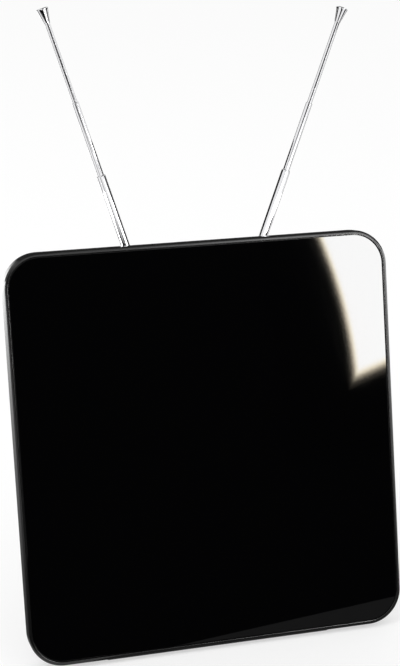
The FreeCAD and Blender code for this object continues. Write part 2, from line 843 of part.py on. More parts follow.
socket = turned("coax_socket", "XY_Plane", "V_Axis", [
    ("socket_bore_radius", "socket_front"),
    ("thread_radius", "socket_front"),
    ("thread_radius", "hex_back"),
    ("relief_radius", "hex_back"),
    ("relief_radius", "thread_start"),
    ("thread_radius", "thread_start"),
    ("thread_radius", "thread_end - thread_chamfer"),
    ("thread_radius - thread_chamfer", "thread_end"),
    ("socket_bore_radius", "thread_end"),
])
hex_sketch = depth_sketch(socket, "washer_back")
hexagon(hex_sketch, "hex_flats")
circle(hex_sketch, "0", "0", "(socket_bore_radius + relief_radius) / 2")
pad(socket, hex_sketch, "hex_thickness", towards_back=True)
finish(socket, socket_place)
washer = turned("socket_washer", "XY_Plane", "V_Axis", [
    ("thread_radius + socket_hole_room", "housing_depth"),
    ("washer_radius", "housing_depth"),
    ("washer_radius", "washer_back"),
    ("thread_radius + socket_hole_room", "washer_back"),
])
finish(washer, socket_place)
nut = new_body("socket_nut")
nut_sketch = depth_sketch(nut, "inner_back - nut_thickness")
hexagon(nut_sketch, "hex_flats")
circle(nut_sketch, "0", "0", "thread_radius + nut_run")
pad(nut, nut_sketch, "nut_thickness", towards_back=True)
finish(nut, socket_place)
insulator = turned("socket_insulator", "XY_Plane", "V_Axis", [
    ("contact_radius + contact_gap", "socket_front"),
    ("socket_bore_radius - insulator_gap", "socket_front"),
    ("socket_bore_radius - insulator_gap", "thread_end - insulator_setback"),
    ("contact_radius + contact_gap", "thread_end - insulator_setback"),
])
finish(insulator, socket_place)
contact = cylinder(
    "socket_contact", "contact_radius", "thread_end - contact_setback - board_depth + contact_tail",
    ("0", "board_depth - contact_tail", "0"), Y_AXIS,
)
finish(contact, socket_place)


# Telescopic rods: each swivels on a stud, tilts on a rivet and slides out in two steps
def add_rod(side, sign):
    swivel = f"{side}_swivel"
    pivot_spot = Vector(sign * value("pivot_x"), value("pivot_depth"), value("pivot_height"))
    pivot = panel.multiply(Placement(pivot_spot, Rotation()))
    aimed = pivot.multiply(Placement(Vector(), Rotation(Y_AXIS, sign * value(swivel))))
    shoulder = "shoulder_gap - pivot_standoff"
    shank_low = "shank_end - pivot_depth"
    washer_low = "swivel_washer_face - pivot_depth"

    # Swivel stud: a turned barrel with a fork for the knuckle and a shank through the cover
    stud = turned(f"{side}_swivel_stud", "XY_Plane", "V_Axis", [
        ("0", f"{shank_low} + swivel_screw_bite"),
        ("swivel_screw_radius + swivel_screw_gap", f"{shank_low} + swivel_screw_bite"),
        ("swivel_screw_radius + swivel_screw_gap", shank_low),
        ("shank_radius", shank_low),
        ("shank_radius", shoulder),
        ("barrel_radius", shoulder),
        ("barrel_radius", "barrel_cap - barrel_edge"),
        ("barrel_radius - barrel_edge", "barrel_cap"),
        ("0", "barrel_cap"),
    ])
    fork_sketch = new_sketch(stud, "XY_Plane")
    rectangle(fork_sketch, "-slot_width / 2", "-slot_floor", "slot_width / 2", "barrel_cap + wall")
    for half in ("-", ""):
        rectangle(
            fork_sketch, f"{half}barrel_flat", "-slot_floor",
            f"{half}(barrel_radius + wall)", "barrel_cap + wall",
        )
    pocket(stud, fork_sketch, "4 * barrel_radius", both_ways=True)
    pin_hole_sketch = new_sketch(stud, "YZ_Plane")
    circle(pin_hole_sketch, "0", "0", "tilt_pin_radius + pin_press_gap")
    pocket(stud, pin_hole_sketch, "4 * barrel_radius", both_ways=True)
    finish(stud, aimed)

    # Swivel screw and washer: they hold the stud in the cover from inside
    inside_washer = turned(f"{side}_swivel_washer", "XY_Plane", "V_Axis", [
        ("swivel_screw_radius + swivel_screw_gap", washer_low),
        ("swivel_washer_radius", washer_low),
        ("swivel_washer_radius", shank_low),
        ("swivel_screw_radius + swivel_screw_gap", shank_low),
    ])
    finish(inside_washer, aimed)
    inside_screw = turned(f"{side}_swivel_screw", "XY_Plane", "V_Axis", [
        ("0", f"{washer_low} - swivel_head_height"),
        ("swivel_head_radius", f"{washer_low} - swivel_head_height"),
        ("swivel_head_radius", washer_low),
        ("swivel_screw_radius", washer_low),
        ("swivel_screw_radius", f"{shank_low} + swivel_screw_bite - swivel_screw_spare"),
        ("0", f"{shank_low} + swivel_screw_bite - swivel_screw_spare"),
    ])
    finish(inside_screw, aimed)

    # Tilt rivet: its two heads close on the flats of the fork
    rivet = turned(f"{side}_tilt_rivet", "XY_Plane", "H_Axis", [
        ("-barrel_flat - rivet_head_height", "0"),
        ("-barrel_flat - rivet_head_height", "tilt_pin_radius"),
        ("-barrel_flat", "rivet_head_radius"),
        ("-barrel_flat", "tilt_pin_radius"),
        ("barrel_flat", "tilt_pin_radius"),
        ("barrel_flat", "rivet_head_radius"),
        ("barrel_flat + rivet_head_height", "tilt_pin_radius"),
        ("barrel_flat + rivet_head_height", "0"),
    ])
    finish(rivet, aimed)

    # Knuckle: a flat tongue on the rivet, a collar and a plug inside the base tube
    knuckle = turned(f"{side}_knuckle", "XZ_Plane", "V_Axis", [
        ("0", "collar_start"),
        ("collar_radius - collar_round", "collar_start"),
        ("collar_radius", "collar_start + collar_round"),
        ("collar_radius", "base_start"),
        ("base_bore - plug_gap", "base_start"),
        ("base_bore - plug_gap", "base_start + plug_length - plug_chamfer"),
        ("base_bore - plug_gap - plug_chamfer", "base_start + plug_length"),
        ("0", "base_start + plug_length"),
    ])
    web_sketch = new_sketch(knuckle, "YZ_Plane")
    rectangle(web_sketch, "-tongue_half", "0", "tongue_half", "collar_start + collar_length / 2")
    pad(knuckle, web_sketch, "knuckle_thickness", both_ways=True)
    eye_sketch = new_sketch(knuckle, "YZ_Plane")
    circle(eye_sketch, "0", "0", "tongue_radius")
    pad(knuckle, eye_sketch, "knuckle_thickness", both_ways=True)
    hole_sketch = new_sketch(knuckle, "YZ_Plane")
    circle(hole_sketch, "0", "0", "tilt_pin_radius + tilt_run_gap")
    pocket(knuckle, hole_sketch, "2 * knuckle_thickness", both_ways=True)
    finish(knuckle, aimed)

    # Base tube: drawn chrome tube with a rolled-in mouth
    base_tube = turned(f"{side}_base_tube", "XZ_Plane", "V_Axis", [
        ("base_bore", "base_start"),
        ("base_radius", "base_start"),
        ("base_radius", "base_reach"),
        ("middle_radius + slide_gap", "base_reach"),
        ("middle_radius + slide_gap", "base_reach - base_mouth"),
        ("base_bore", "base_reach - base_mouth"),
    ])
    dress(base_tube, "Fillet", "Radius", "base_mouth_round", rim_at("Z", "base_reach", "base_radius"))
    finish(base_tube, aimed)

    # Middle tube and the sprung brass sleeve that steadies its lower end
    middle_top = f"base_reach + {side}_middle_draw"
    middle_low = f"{middle_top} - middle_length"
    middle_reach = f"max(middle_draw_limit; {side}_middle_draw)"
    middle_sleeve_top = f"{middle_low} + middle_length - {middle_reach} - base_mouth - stop_gap"
    middle_tube = turned(f"{side}_middle_tube", "XZ_Plane", "V_Axis", [
        ("middle_bore", middle_low),
        ("middle_radius", middle_low),
        ("middle_radius", middle_top),
        ("inner_radius + slide_gap", middle_top),
        ("inner_radius + slide_gap", f"{middle_top} - middle_mouth"),
        ("middle_bore", f"{middle_top} - middle_mouth"),
    ])
    dress(middle_tube, "Fillet", "Radius", "middle_mouth_round", rim_at("Z", middle_top, "middle_radius"))
    finish(middle_tube, aimed)
    middle_sleeve = turned(f"{side}_middle_sleeve", "XZ_Plane", "V_Axis", [
        ("middle_radius + sleeve_seat_gap", middle_low),
        ("base_bore - sleeve_gap", middle_low),
        ("base_bore - sleeve_gap", middle_sleeve_top),
        ("middle_radius + sleeve_seat_gap", middle_sleeve_top),
    ])
    finish(middle_sleeve, aimed)

    # Inner rod with its own sleeve on a turned-down end
    inner_top = f"{middle_top} + {side}_inner_draw"
    inner_reach = f"max(inner_draw_limit; {side}_inner_draw)"
    inner_low = f"{inner_top} - {inner_reach} - inner_overlap"
    inner_rod = turned(f"{side}_inner_rod", "XZ_Plane", "V_Axis", [
        ("0", inner_low),
        ("inner_neck_radius", inner_low),
        ("inner_neck_radius", f"{inner_low} + inner_sleeve_length"),
        ("inner_radius", f"{inner_low} + inner_sleeve_length"),
        ("inner_radius", f"{inner_top} + tip_socket_depth"),
        ("0", f"{inner_top} + tip_socket_depth"),
    ])
    finish(inner_rod, aimed)
    inner_sleeve = turned(f"{side}_inner_sleeve", "XZ_Plane", "V_Axis", [
        ("inner_neck_radius + sleeve_seat_gap", inner_low),
        ("middle_bore - sleeve_gap", inner_low),
        ("middle_bore - sleeve_gap", f"{inner_low} + inner_sleeve_length"),
        ("inner_neck_radius + sleeve_seat_gap", f"{inner_low} + inner_sleeve_length"),
    ])
    finish(inner_sleeve, aimed)

    # Tip: a flared button pressed on the end of the inner rod
    tip_bore = "inner_radius + sleeve_seat_gap"
    tip = turned(f"{side}_tip", "XZ_Plane", "V_Axis", [
        (tip_bore, inner_top),
        ("tip_low_radius", inner_top),
        ("tip_top_radius", f"{inner_top} + tip_length"),
        ("0", f"{inner_top} + tip_length"),
        ("0", f"{inner_top} + tip_socket_depth"),
        (tip_bore, f"{inner_top} + tip_socket_depth"),
    ])
    tip_rim = rim_at("Z", f"{inner_top} + tip_length", "tip_top_radius")
    dress(tip, "Fillet", "Radius", "tip_top_round", tip_rim)
    finish(tip, aimed)

    # Solder lug on the boss inside the cover, its tail outwards, and the lead from it down to the board
    outwards = "" if sign > 0 else "-"
    lug = new_body(f"{side}_solder_lug")
    ring_sketch = new_sketch(lug, "XZ_Plane", "-(lug_face - pivot_depth)")
    circle(ring_sketch, "0", "0", "lug_radius")
    pad(lug, ring_sketch, "lug_thickness", towards_back=True)
    tail_sketch = new_sketch(lug, "XZ_Plane", "-(lug_face - pivot_depth)")
    rectangle(
        tail_sketch, f"{outwards}shank_radius", "-lug_tail_width / 2",
        f"{outwards}lug_tail_length", "lug_tail_width / 2",
    )
    pad(lug, tail_sketch, "lug_thickness", towards_back=True)
    eye_sketch = new_sketch(lug, "XZ_Plane", "-(lug_face - pivot_depth)")
    circle(eye_sketch, "0", "0", "shank_radius + lug_hole_gap")
    pocket(lug, eye_sketch, "lug_thickness", towards_back=True)
    finish(lug, pivot)
    lead_x = sign * value("pivot_x + lug_tail_length - lead_lug_rise")
    lead_top = Vector(
        lead_x,
        value("lug_face - lead_radius - lead_seat_gap"),
        value("pivot_height + lug_tail_width / 2"),
    )
    lead_end = Vector(
        lead_x,
        value("board_back + lead_radius + lead_seat_gap"),
        value("board_top - lead_board_drop"),
    )
    lead = doc.addObject("Part::Cylinder", f"{side}_lead")
    bind(lead, Radius="lead_radius")
    lead.Height = (lead_end - lead_top).Length
    lead.Placement = Placement(lead_top, Rotation(Z_AXIS, lead_end - lead_top))
    finish(lead)


add_rod("left", -1)
add_rod("right", 1)

# Checks before writing
doc.recompute()
for thing in doc.Objects:
    if {"Invalid", "Error"} & set(thing.State):
        raise RuntimeError(f"{thing.Label} failed: {thing.State}")
for feature in finished:
    if feature.Shape.isNull() or not feature.Shape.isValid():
        raise RuntimeError(f"{feature.Label} has no valid shape")

os.makedirs("parts", exist_ok=True)
for feature in finished:
    feature.Shape.exportStep(f"parts/{feature.Label}.step")
print(f"{len(finished)} sub-parts written")
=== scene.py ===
import bmesh
import bpy
import math
from mathutils import Matrix, Vector


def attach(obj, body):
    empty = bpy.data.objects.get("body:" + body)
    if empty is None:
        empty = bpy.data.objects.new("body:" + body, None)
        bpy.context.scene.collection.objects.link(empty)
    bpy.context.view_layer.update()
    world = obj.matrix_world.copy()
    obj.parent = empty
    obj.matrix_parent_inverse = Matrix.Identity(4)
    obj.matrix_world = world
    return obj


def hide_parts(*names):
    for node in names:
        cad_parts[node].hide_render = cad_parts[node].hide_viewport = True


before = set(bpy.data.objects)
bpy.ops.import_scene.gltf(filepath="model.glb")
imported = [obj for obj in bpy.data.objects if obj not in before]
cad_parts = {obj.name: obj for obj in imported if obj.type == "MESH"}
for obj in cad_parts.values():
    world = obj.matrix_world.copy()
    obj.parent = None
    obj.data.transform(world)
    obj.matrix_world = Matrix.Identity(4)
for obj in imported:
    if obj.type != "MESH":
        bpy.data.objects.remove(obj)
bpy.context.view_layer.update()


# Front panel: a sheet of gloss black acrylic, cut to the frame's opening with a fine bevel round its
# front edge and bonded to the ledge inside the frame. Pieces are drawn upright in millimetres, X across,
# Y from the face to the back and Z up from the lower edge, and are then leant back on to their feet.
PANEL_WIDTH = 200.0
PANEL_HEIGHT = 210.0
CORNER_RADIUS = 18.0
CORNER_STEPS = 20
LEAN_DEGREES = 12.8
LEAN = math.radians(LEAN_DEGREES)
FOOT_LIFT = 2.6
FOOT_MIDDLE = 6.35
MILLIMETRE = 0.001
TOUCHING = 1e-3
WELD = 1e-4
FACE_INSET = 2.2
FACE_DEPTH = 0.4
FACE_THICKNESS = 2.5
FACE_BEVEL = 0.3


def floor_height(depth):
    """The table's height under the leaning panel, at a depth behind its front."""
    return depth * math.tan(LEAN) - FOOT_LIFT / math.cos(LEAN)


foot_point = Vector((0, FOOT_MIDDLE, floor_height(FOOT_MIDDLE)))
panel_place = (
    Matrix.Scale(MILLIMETRE, 4) @ Matrix.Rotation(-LEAN, 4, "X") @ Matrix.Translation(-foot_point)
)


def choose(piece):
    """Make a piece the active one, and the only one selected."""
    bpy.ops.object.select_all(action="DESELECT")
    piece.select_set(True)
    bpy.context.view_layer.objects.active = piece


def settle(name, scale=(1, 1, 1)):
    """Name and size the primitive that was just added, and apply its place, turn and size."""
    piece = bpy.context.object
    piece.name = name
    piece.scale = scale
    choose(piece)
    bpy.ops.object.transform_apply(location=True, rotation=True, scale=True)
    return piece


def open_outline(name, inset, depth):
    """Open a new piece as one flat face with the panel's rounded outline, drawn in by an inset."""
    middle = (0, depth, PANEL_HEIGHT / 2)
    bpy.ops.mesh.primitive_plane_add(size=1, location=middle, rotation=(math.pi / 2, 0, 0))
    piece = settle(name, (PANEL_WIDTH - 2 * inset, PANEL_HEIGHT - 2 * inset, 1))
    bpy.ops.object.mode_set(mode="EDIT")
    bpy.ops.mesh.select_all(action="SELECT")
    bpy.ops.mesh.bevel(offset=CORNER_RADIUS - inset, segments=CORNER_STEPS, affect="VERTICES")
    bpy.ops.mesh.select_mode(type="FACE")
    bpy.ops.mesh.select_all(action="SELECT")
    return piece


def pick(piece, kind, wanted):
    """Select the vertices, edges or faces of the open piece that pass a test."""
    bpy.ops.mesh.select_mode(type=kind)
    bpy.ops.mesh.select_all(action="DESELECT")
    shape = bmesh.from_edit_mesh(piece.data)
    for item in {"VERT": shape.verts, "EDGE": shape.edges, "FACE": shape.faces}[kind]:
        if wanted(item):
            item.select_set(True)
    shape.select_flush_mode()
    bmesh.update_edit_mesh(piece.data)


def at_depth(depth):
    """A test for edges and faces that lie at one depth behind the front."""
    return lambda item: all(abs(point.co.y - depth) < TOUCHING for point in item.verts)


def extrude(across=0, back=0, up=0):
    bpy.ops.mesh.extrude_region_move(TRANSFORM_OT_translate={"value": (across, back, up)})


def close_piece(piece, smooth_angle=32):
    """Face the open piece outwards, leave edit mode and smooth its curved faces."""
    if bpy.context.mode == "EDIT_MESH":
        bpy.ops.mesh.select_all(action="SELECT")
        bpy.ops.mesh.remove_doubles(threshold=WELD)
        bpy.ops.mesh.normals_make_consistent(inside=False)
        bpy.ops.object.mode_set(mode="OBJECT")
    choose(piece)
    bpy.ops.object.shade_smooth_by_angle(angle=math.radians(smooth_angle))


def fit(piece, place, body, slot, finish, *nodes):
    """Put a finished piece in its place on a body, in its finish, for the CAD nodes it stands for.
    Its normals are weighted first, so that flat faces between rounded edges stay flat mirrors."""
    choose(piece)
    step = piece.modifiers.new("flat_faces", "WEIGHTED_NORMAL")
    step.keep_sharp = True
    bpy.ops.object.modifier_apply(modifier=step.name)
    piece.data.transform(place)
    piece.data.update()
    piece.data.name = piece.name
    piece.data.materials.clear()
    piece.data.materials.append(finish)
    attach(piece, body)
    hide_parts(*nodes)


# The grain that every finish shares: an uneven gloss and a fine relief, each at its own scale.
GRAIN_DETAIL = 4
GRAIN_LOW, GRAIN_HIGH = 0.3, 0.7
RELIEF_HEIGHT = 0.0001
grain = bpy.data.node_groups.new("fine_grain", "ShaderNodeTree")
for socket_name in ("Scale", "Smooth", "Rough"):
    grain.interface.new_socket(socket_name, in_out="INPUT", socket_type="NodeSocketFloat")
for socket_name in ("Roughness", "Height"):
    grain.interface.new_socket(socket_name, in_out="OUTPUT", socket_type="NodeSocketFloat")
grain_in = grain.nodes.new("NodeGroupInput")
grain_out = grain.nodes.new("NodeGroupOutput")
grain_place = grain.nodes.new("ShaderNodeTexCoord")
grain_noise = grain.nodes.new("ShaderNodeTexNoise")
grain_noise.inputs["Detail"].default_value = GRAIN_DETAIL
grain_range = grain.nodes.new("ShaderNodeMapRange")
grain_range.inputs["From Min"].default_value = GRAIN_LOW
grain_range.inputs["From Max"].default_value = GRAIN_HIGH
grain.links.new(grain_place.outputs["Object"], grain_noise.inputs["Vector"])
grain.links.new(grain_in.outputs["Scale"], grain_noise.inputs["Scale"])
grain.links.new(grain_noise.outputs["Fac"], grain_range.inputs["Value"])
grain.links.new(grain_in.outputs["Smooth"], grain_range.inputs["To Min"])
grain.links.new(grain_in.outputs["Rough"], grain_range.inputs["To Max"])
grain.links.new(grain_range.outputs["Result"], grain_out.inputs["Roughness"])
grain.links.new(grain_noise.outputs["Fac"], grain_out.inputs["Height"])


def make_finish(name, dark, light, scale, smooth, rough, relief, **sockets):
    """A finish whose colour drifts between two tones, with its own grain; sockets are plain values."""
    finish = bpy.data.materials.new(name)
    finish.use_nodes = True
    nodes, links = finish.node_tree.nodes, finish.node_tree.links
    shader = nodes["Principled BSDF"]
    for socket, number in sockets.items():
        shader.inputs[socket.replace("_", " ")].default_value = number
    fine = nodes.new("ShaderNodeGroup")
    fine.node_tree = grain
    fine.inputs["Scale"].default_value = scale
    fine.inputs["Smooth"].default_value = smooth
    fine.inputs["Rough"].default_value = rough
    tone = nodes.new("ShaderNodeMix")
    tone.data_type = "RGBA"
    tone.inputs["A"].default_value = (*dark, 1)
    tone.inputs["B"].default_value = (*light, 1)
    bump = nodes.new("ShaderNodeBump")
    bump.inputs["Strength"].default_value = relief
    bump.inputs["Distance"].default_value = RELIEF_HEIGHT
    links.new(fine.outputs["Height"], tone.inputs["Factor"])
    links.new(tone.outputs["Result"], shader.inputs["Base Color"])
    links.new(fine.outputs["Roughness"], shader.inputs["Roughness"])
    links.new(fine.outputs["Height"], bump.inputs["Height"])
    links.new(bump.outputs["Normal"], shader.inputs["Normal"])
    return finish


gloss_acrylic = make_finish(
    "gloss_black_acrylic", (0.0008, 0.0008, 0.001), (0.0016, 0.0016, 0.0018),
    scale=900, smooth=0.012, rough=0.03, relief=0.004, IOR=1.49,
)
face = open_outline("acrylic_face", FACE_INSET, FACE_DEPTH)
extrude(back=FACE_THICKNESS)
pick(face, "EDGE", at_depth(FACE_DEPTH))
bpy.ops.mesh.bevel(offset=FACE_BEVEL, segments=3, affect="EDGES")
close_piece(face)
fit(face, panel_place, "housing", "gloss_black", gloss_acrylic, "front_panel")


# Front frame: a moulded rim round the acrylic, in satin black, with a domed crest and a ledge behind
# the sheet. The rear cover is screwed to it from behind.
RIM_WIDTH = 2.0
CREST_WIDTH = 1.75
CREST_FALL = 0.9
CREST_STEPS = 8
RIM_INNER_ROUND = 0.2
FRAME_DEPTH = 4.2
LEDGE_WIDTH = 5.0
FACE_BACK = FACE_DEPTH + FACE_THICKNESS
OUTLINE_NEAR = 0.05


def inset_of(point):
    """How far a point lies inside the panel's rounded outline."""
    across = abs(point.co.x) - PANEL_WIDTH / 2 + CORNER_RADIUS
    up = abs(point.co.z - PANEL_HEIGHT / 2) - PANEL_HEIGHT / 2 + CORNER_RADIUS
    outside = math.hypot(max(across, 0), max(up, 0))
    return CORNER_RADIUS - outside - min(max(across, up), 0)


def on_outline(inset, depth):
    """A test for edges of the outline at one inset and depth."""
    level = at_depth(depth)
    return lambda edge: level(edge) and all(
        abs(inset_of(point) - inset) < OUTLINE_NEAR for point in edge.verts
    )


frame_plastic = make_finish(
    "satin_frame_plastic", (0.004, 0.004, 0.004), (0.009, 0.009, 0.009),
    scale=1400, smooth=0.1, rough=0.16, relief=0.02, IOR=1.5,
)
rim = open_outline("frame_rim", 0, CREST_FALL)
crest_turns = [math.pi / 2 * step / CREST_STEPS for step in range(CREST_STEPS + 1)]
for turn, next_turn in zip(crest_turns, crest_turns[1:]):
    bpy.ops.mesh.inset(
        thickness=CREST_WIDTH * (math.cos(turn) - math.cos(next_turn)),
        depth=CREST_FALL * (math.sin(next_turn) - math.sin(turn)),
    )
bpy.ops.mesh.inset(thickness=RIM_WIDTH - CREST_WIDTH, depth=0)
extrude(back=FACE_BACK)
bpy.ops.mesh.inset(thickness=LEDGE_WIDTH, depth=0)
extrude(back=FRAME_DEPTH - FACE_BACK)
bpy.ops.mesh.delete(type="FACE")
pick(rim, "EDGE", lambda edge: edge.is_boundary and at_depth(CREST_FALL)(edge))
extrude(back=FRAME_DEPTH - CREST_FALL)
pick(rim, "EDGE", lambda edge: edge.is_boundary)
bpy.ops.mesh.bridge_edge_loops()
pick(rim, "EDGE", on_outline(RIM_WIDTH, 0))
bpy.ops.mesh.bevel(offset=RIM_INNER_ROUND, segments=5, affect="EDGES")
close_piece(rim, smooth_angle=50)
fit(rim, panel_place, "housing", "frame_black", frame_plastic, "front_frame")


# Rear cover: a moulded tray in textured black, with a rounded back edge. It has the stand's recess, bosses
# for the swivels and the board, and wells for its screws.
COVER_DEPTH = 12.6
COVER_WALL = 2.0
BACK_ROUND = 4.6
TEXTURE_ROUGHNESS = 0.46
TEXTURE_FROM, TEXTURE_FULL = 0.5, 0.85
INNER_BACK = COVER_DEPTH - COVER_WALL
SCREW_INSET = 12.0
SCREW_SEAT = 10.0
SCREW_MEET = 8.4
SCREW_BOSS, SCREW_WELL, SCREW_HOLE = 4.6, 3.2, 1.55
RECESS_HALF = 26.8
RECESS_FLOOR = 8.4
RECESS_TOP = 134.0
RECESS_PAST = 5
TUB_WALL = 3.0
TUB_FLOOR = 1.2
TUB_LAP, BOSS_LAP = 0.3, 0.4
HINGE_DEPTH = 10.5
HINGE_HEIGHT = 128.0
PIN_RADIUS = 0.92
PIN_REACH = 29.2
PIVOT_X = 25.4
PIVOT_HEIGHT = 178.0
PIVOT_BOSS, PIVOT_BOSS_FRONT, PIVOT_HOLE = 6.0, 8.7, 2.86
SOCKET_X = 46.0
SOCKET_Z = 50.0
SOCKET_HOLE = 4.9125
BOARD_BACK = 5.6
BOARD_SCREW_X, BOARD_SCREW_HEIGHTS = 66.0, (33.0, 135.0)
BOARD_BOSS, BOARD_HOLE = 3.0, 0.95
PEG_X, PEG_HOLE, PEG_HOLE_TOP = 45, 1.13, 3
CUT_LEAD, CUT_PAST = 1, 2
PIVOT_LEAD, BOARD_HOLE_DEPTH = 4, 4
BOSS_STEPS, SMALL_STEPS = 48, 32
BOARD_SPOTS = [(side * BOARD_SCREW_X, height) for side in (-1, 1) for height in BOARD_SCREW_HEIGHTS]
SCREW_SPOTS = [
    (side * (PANEL_WIDTH / 2 - SCREW_INSET), height)
    for side in (-1, 1)
    for height in (SCREW_INSET, PANEL_HEIGHT - SCREW_INSET)
]
PIVOT_SPOTS = [(-PIVOT_X, PIVOT_HEIGHT), (PIVOT_X, PIVOT_HEIGHT)]


def new_block(name, low, high):
    """A box between two corners."""
    middle = [(a + b) / 2 for a, b in zip(low, high)]
    bpy.ops.mesh.primitive_cube_add(size=1, location=middle)
    return settle(name, [b - a for a, b in zip(low, high)])


def new_round(name, radius, start, end, steps=64):
    """A cylinder between two points."""
    start, end = Vector(start), Vector(end)
    turn = (end - start).to_track_quat("Z", "Y").to_euler()
    bpy.ops.mesh.primitive_cylinder_add(
        vertices=steps, radius=radius, depth=(end - start).length,
        location=(start + end) / 2, rotation=turn,
    )
    return settle(name)


def combine(piece, other, operation):
    """Join another shape to the piece, or cut it away, and drop that shape."""
    choose(piece)
    step = piece.modifiers.new("combine", "BOOLEAN")
    step.object = other
    step.operation = operation
    step.solver = "EXACT"
    bpy.ops.object.modifier_apply(modifier=step.name)
    bpy.data.objects.remove(other, do_unlink=True)


def soften(piece, width, steps=2, angle=40):
    """Break the sharp edges of a piece with a small bevel."""
    choose(piece)
    step = piece.modifiers.new("soften", "BEVEL")
    step.width = width
    step.segments = steps
    step.limit_method = "ANGLE"
    step.angle_limit = math.radians(angle)
    bpy.ops.object.modifier_apply(modifier=step.name)


cover_plastic = make_finish(
    "textured_cover_plastic", (0.005, 0.005, 0.005), (0.014, 0.014, 0.015),
    scale=1100, smooth=0.1, rough=0.17, relief=0.06, IOR=1.5,
)

# The walls have the mould's gloss; faces towards the back are textured.
cover_nodes, cover_links = cover_plastic.node_tree.nodes, cover_plastic.node_tree.links
facing = cover_nodes.new("ShaderNodeTexCoord")
backward = cover_nodes.new("ShaderNodeVectorMath")
backward.operation = "DOT_PRODUCT"
backward.inputs[1].default_value = (0, math.cos(LEAN), -math.sin(LEAN))
texture_share = cover_nodes.new("ShaderNodeMapRange")
texture_share.inputs["From Min"].default_value = TEXTURE_FROM
texture_share.inputs["From Max"].default_value = TEXTURE_FULL
cover_gloss = cover_nodes.new("ShaderNodeMix")
cover_gloss.inputs["B"].default_value = TEXTURE_ROUGHNESS
cover_shader = cover_nodes["Principled BSDF"]
cover_links.new(facing.outputs["Normal"], backward.inputs[0])
cover_links.new(backward.outputs["Value"], texture_share.inputs["Value"])
cover_links.new(texture_share.outputs["Result"], cover_gloss.inputs["Factor"])
cover_links.new(cover_shader.inputs["Roughness"].links[0].from_socket, cover_gloss.inputs["A"])
cover_links.new(cover_gloss.outputs["Result"], cover_shader.inputs["Roughness"])

cover = open_outline("back_cover", 0, FRAME_DEPTH)
extrude(back=COVER_DEPTH - FRAME_DEPTH)
pick(cover, "FACE", at_depth(FRAME_DEPTH))
bpy.ops.mesh.inset(thickness=COVER_WALL, depth=0)
extrude(back=INNER_BACK - FRAME_DEPTH)
pick(cover, "EDGE", at_depth(COVER_DEPTH))
bpy.ops.mesh.bevel(offset=BACK_ROUND, segments=12, affect="EDGES")
pick(cover, "EDGE", at_depth(INNER_BACK))
bpy.ops.mesh.bevel(offset=BACK_ROUND - COVER_WALL, segments=6, affect="EDGES")
close_piece(cover)
tub_half = RECESS_HALF + TUB_WALL
tub = new_block(
    "tub", (-tub_half, RECESS_FLOOR - TUB_FLOOR, COVER_WALL - TUB_LAP),
    (tub_half, INNER_BACK + TUB_LAP, RECESS_TOP + TUB_WALL),
)
combine(cover, tub, "UNION")
for spots, radius, start in (
    (SCREW_SPOTS, SCREW_BOSS, SCREW_MEET),
    (PIVOT_SPOTS, PIVOT_BOSS, PIVOT_BOSS_FRONT),
    (BOARD_SPOTS, BOARD_BOSS, BOARD_BACK),
):
    for across, up in spots:
        boss_ends = (across, start, up), (across, INNER_BACK + BOSS_LAP, up)
        combine(cover, new_round("boss", radius, *boss_ends, BOSS_STEPS), "UNION")
recess = new_block(
    "recess", (-RECESS_HALF, RECESS_FLOOR, -RECESS_PAST),
    (RECESS_HALF, COVER_DEPTH + RECESS_PAST, RECESS_TOP),
)
combine(cover, recess, "DIFFERENCE")
for spots, radius, start, end in (
    (SCREW_SPOTS, SCREW_WELL, SCREW_SEAT, COVER_DEPTH + CUT_PAST),
    (SCREW_SPOTS, SCREW_HOLE, SCREW_MEET - CUT_LEAD, COVER_DEPTH + CUT_PAST),
    (PIVOT_SPOTS, PIVOT_HOLE, INNER_BACK - PIVOT_LEAD, COVER_DEPTH + CUT_PAST),
    (BOARD_SPOTS, BOARD_HOLE, BOARD_BACK - CUT_LEAD, BOARD_BACK + BOARD_HOLE_DEPTH),
    ([(SOCKET_X, SOCKET_Z)], SOCKET_HOLE, INNER_BACK - CUT_LEAD, COVER_DEPTH + CUT_PAST),
):
    for across, up in spots:
        hole = new_round("hole", radius, (across, start, up), (across, end, up), BOSS_STEPS)
        combine(cover, hole, "DIFFERENCE")
pin_ends = [(reach, HINGE_DEPTH, HINGE_HEIGHT) for reach in (-PIN_REACH, PIN_REACH)]
combine(cover, new_round("pin_hole", PIN_RADIUS, *pin_ends, SMALL_STEPS), "DIFFERENCE")
for side in (-1, 1):
    peg_ends = (side * PEG_X, FOOT_MIDDLE, -CUT_LEAD), (side * PEG_X, FOOT_MIDDLE, PEG_HOLE_TOP)
    combine(cover, new_round("peg_hole", PEG_HOLE, *peg_ends, SMALL_STEPS), "DIFFERENCE")
soften(cover, width=0.15)
close_piece(cover)
fit(cover, panel_place, "housing", "cover_black", cover_plastic, "rear_cover")


# Case screws: four plated pan-head screws in the cover's wells, each with a cross recess for a driver.
# They are turned pieces, as the socket and the rods are too.
SCREW_HEAD_RADIUS = 2.7
SCREW_HEAD_HEIGHT = 1.8
SCREW_HEAD_ROUND = 1.0
SCREW_SHANK_RADIUS = 1.15
SCREW_SHANK_LENGTH = 4.8
SCREW_POINT_SHARE, SCREW_POINT_LENGTH = 0.5, 1.0
FASTENER_STEPS = 40
CROSS_REACH, CROSS_HALF, CROSS_DEPTH = 1.5, 0.32, 1.0


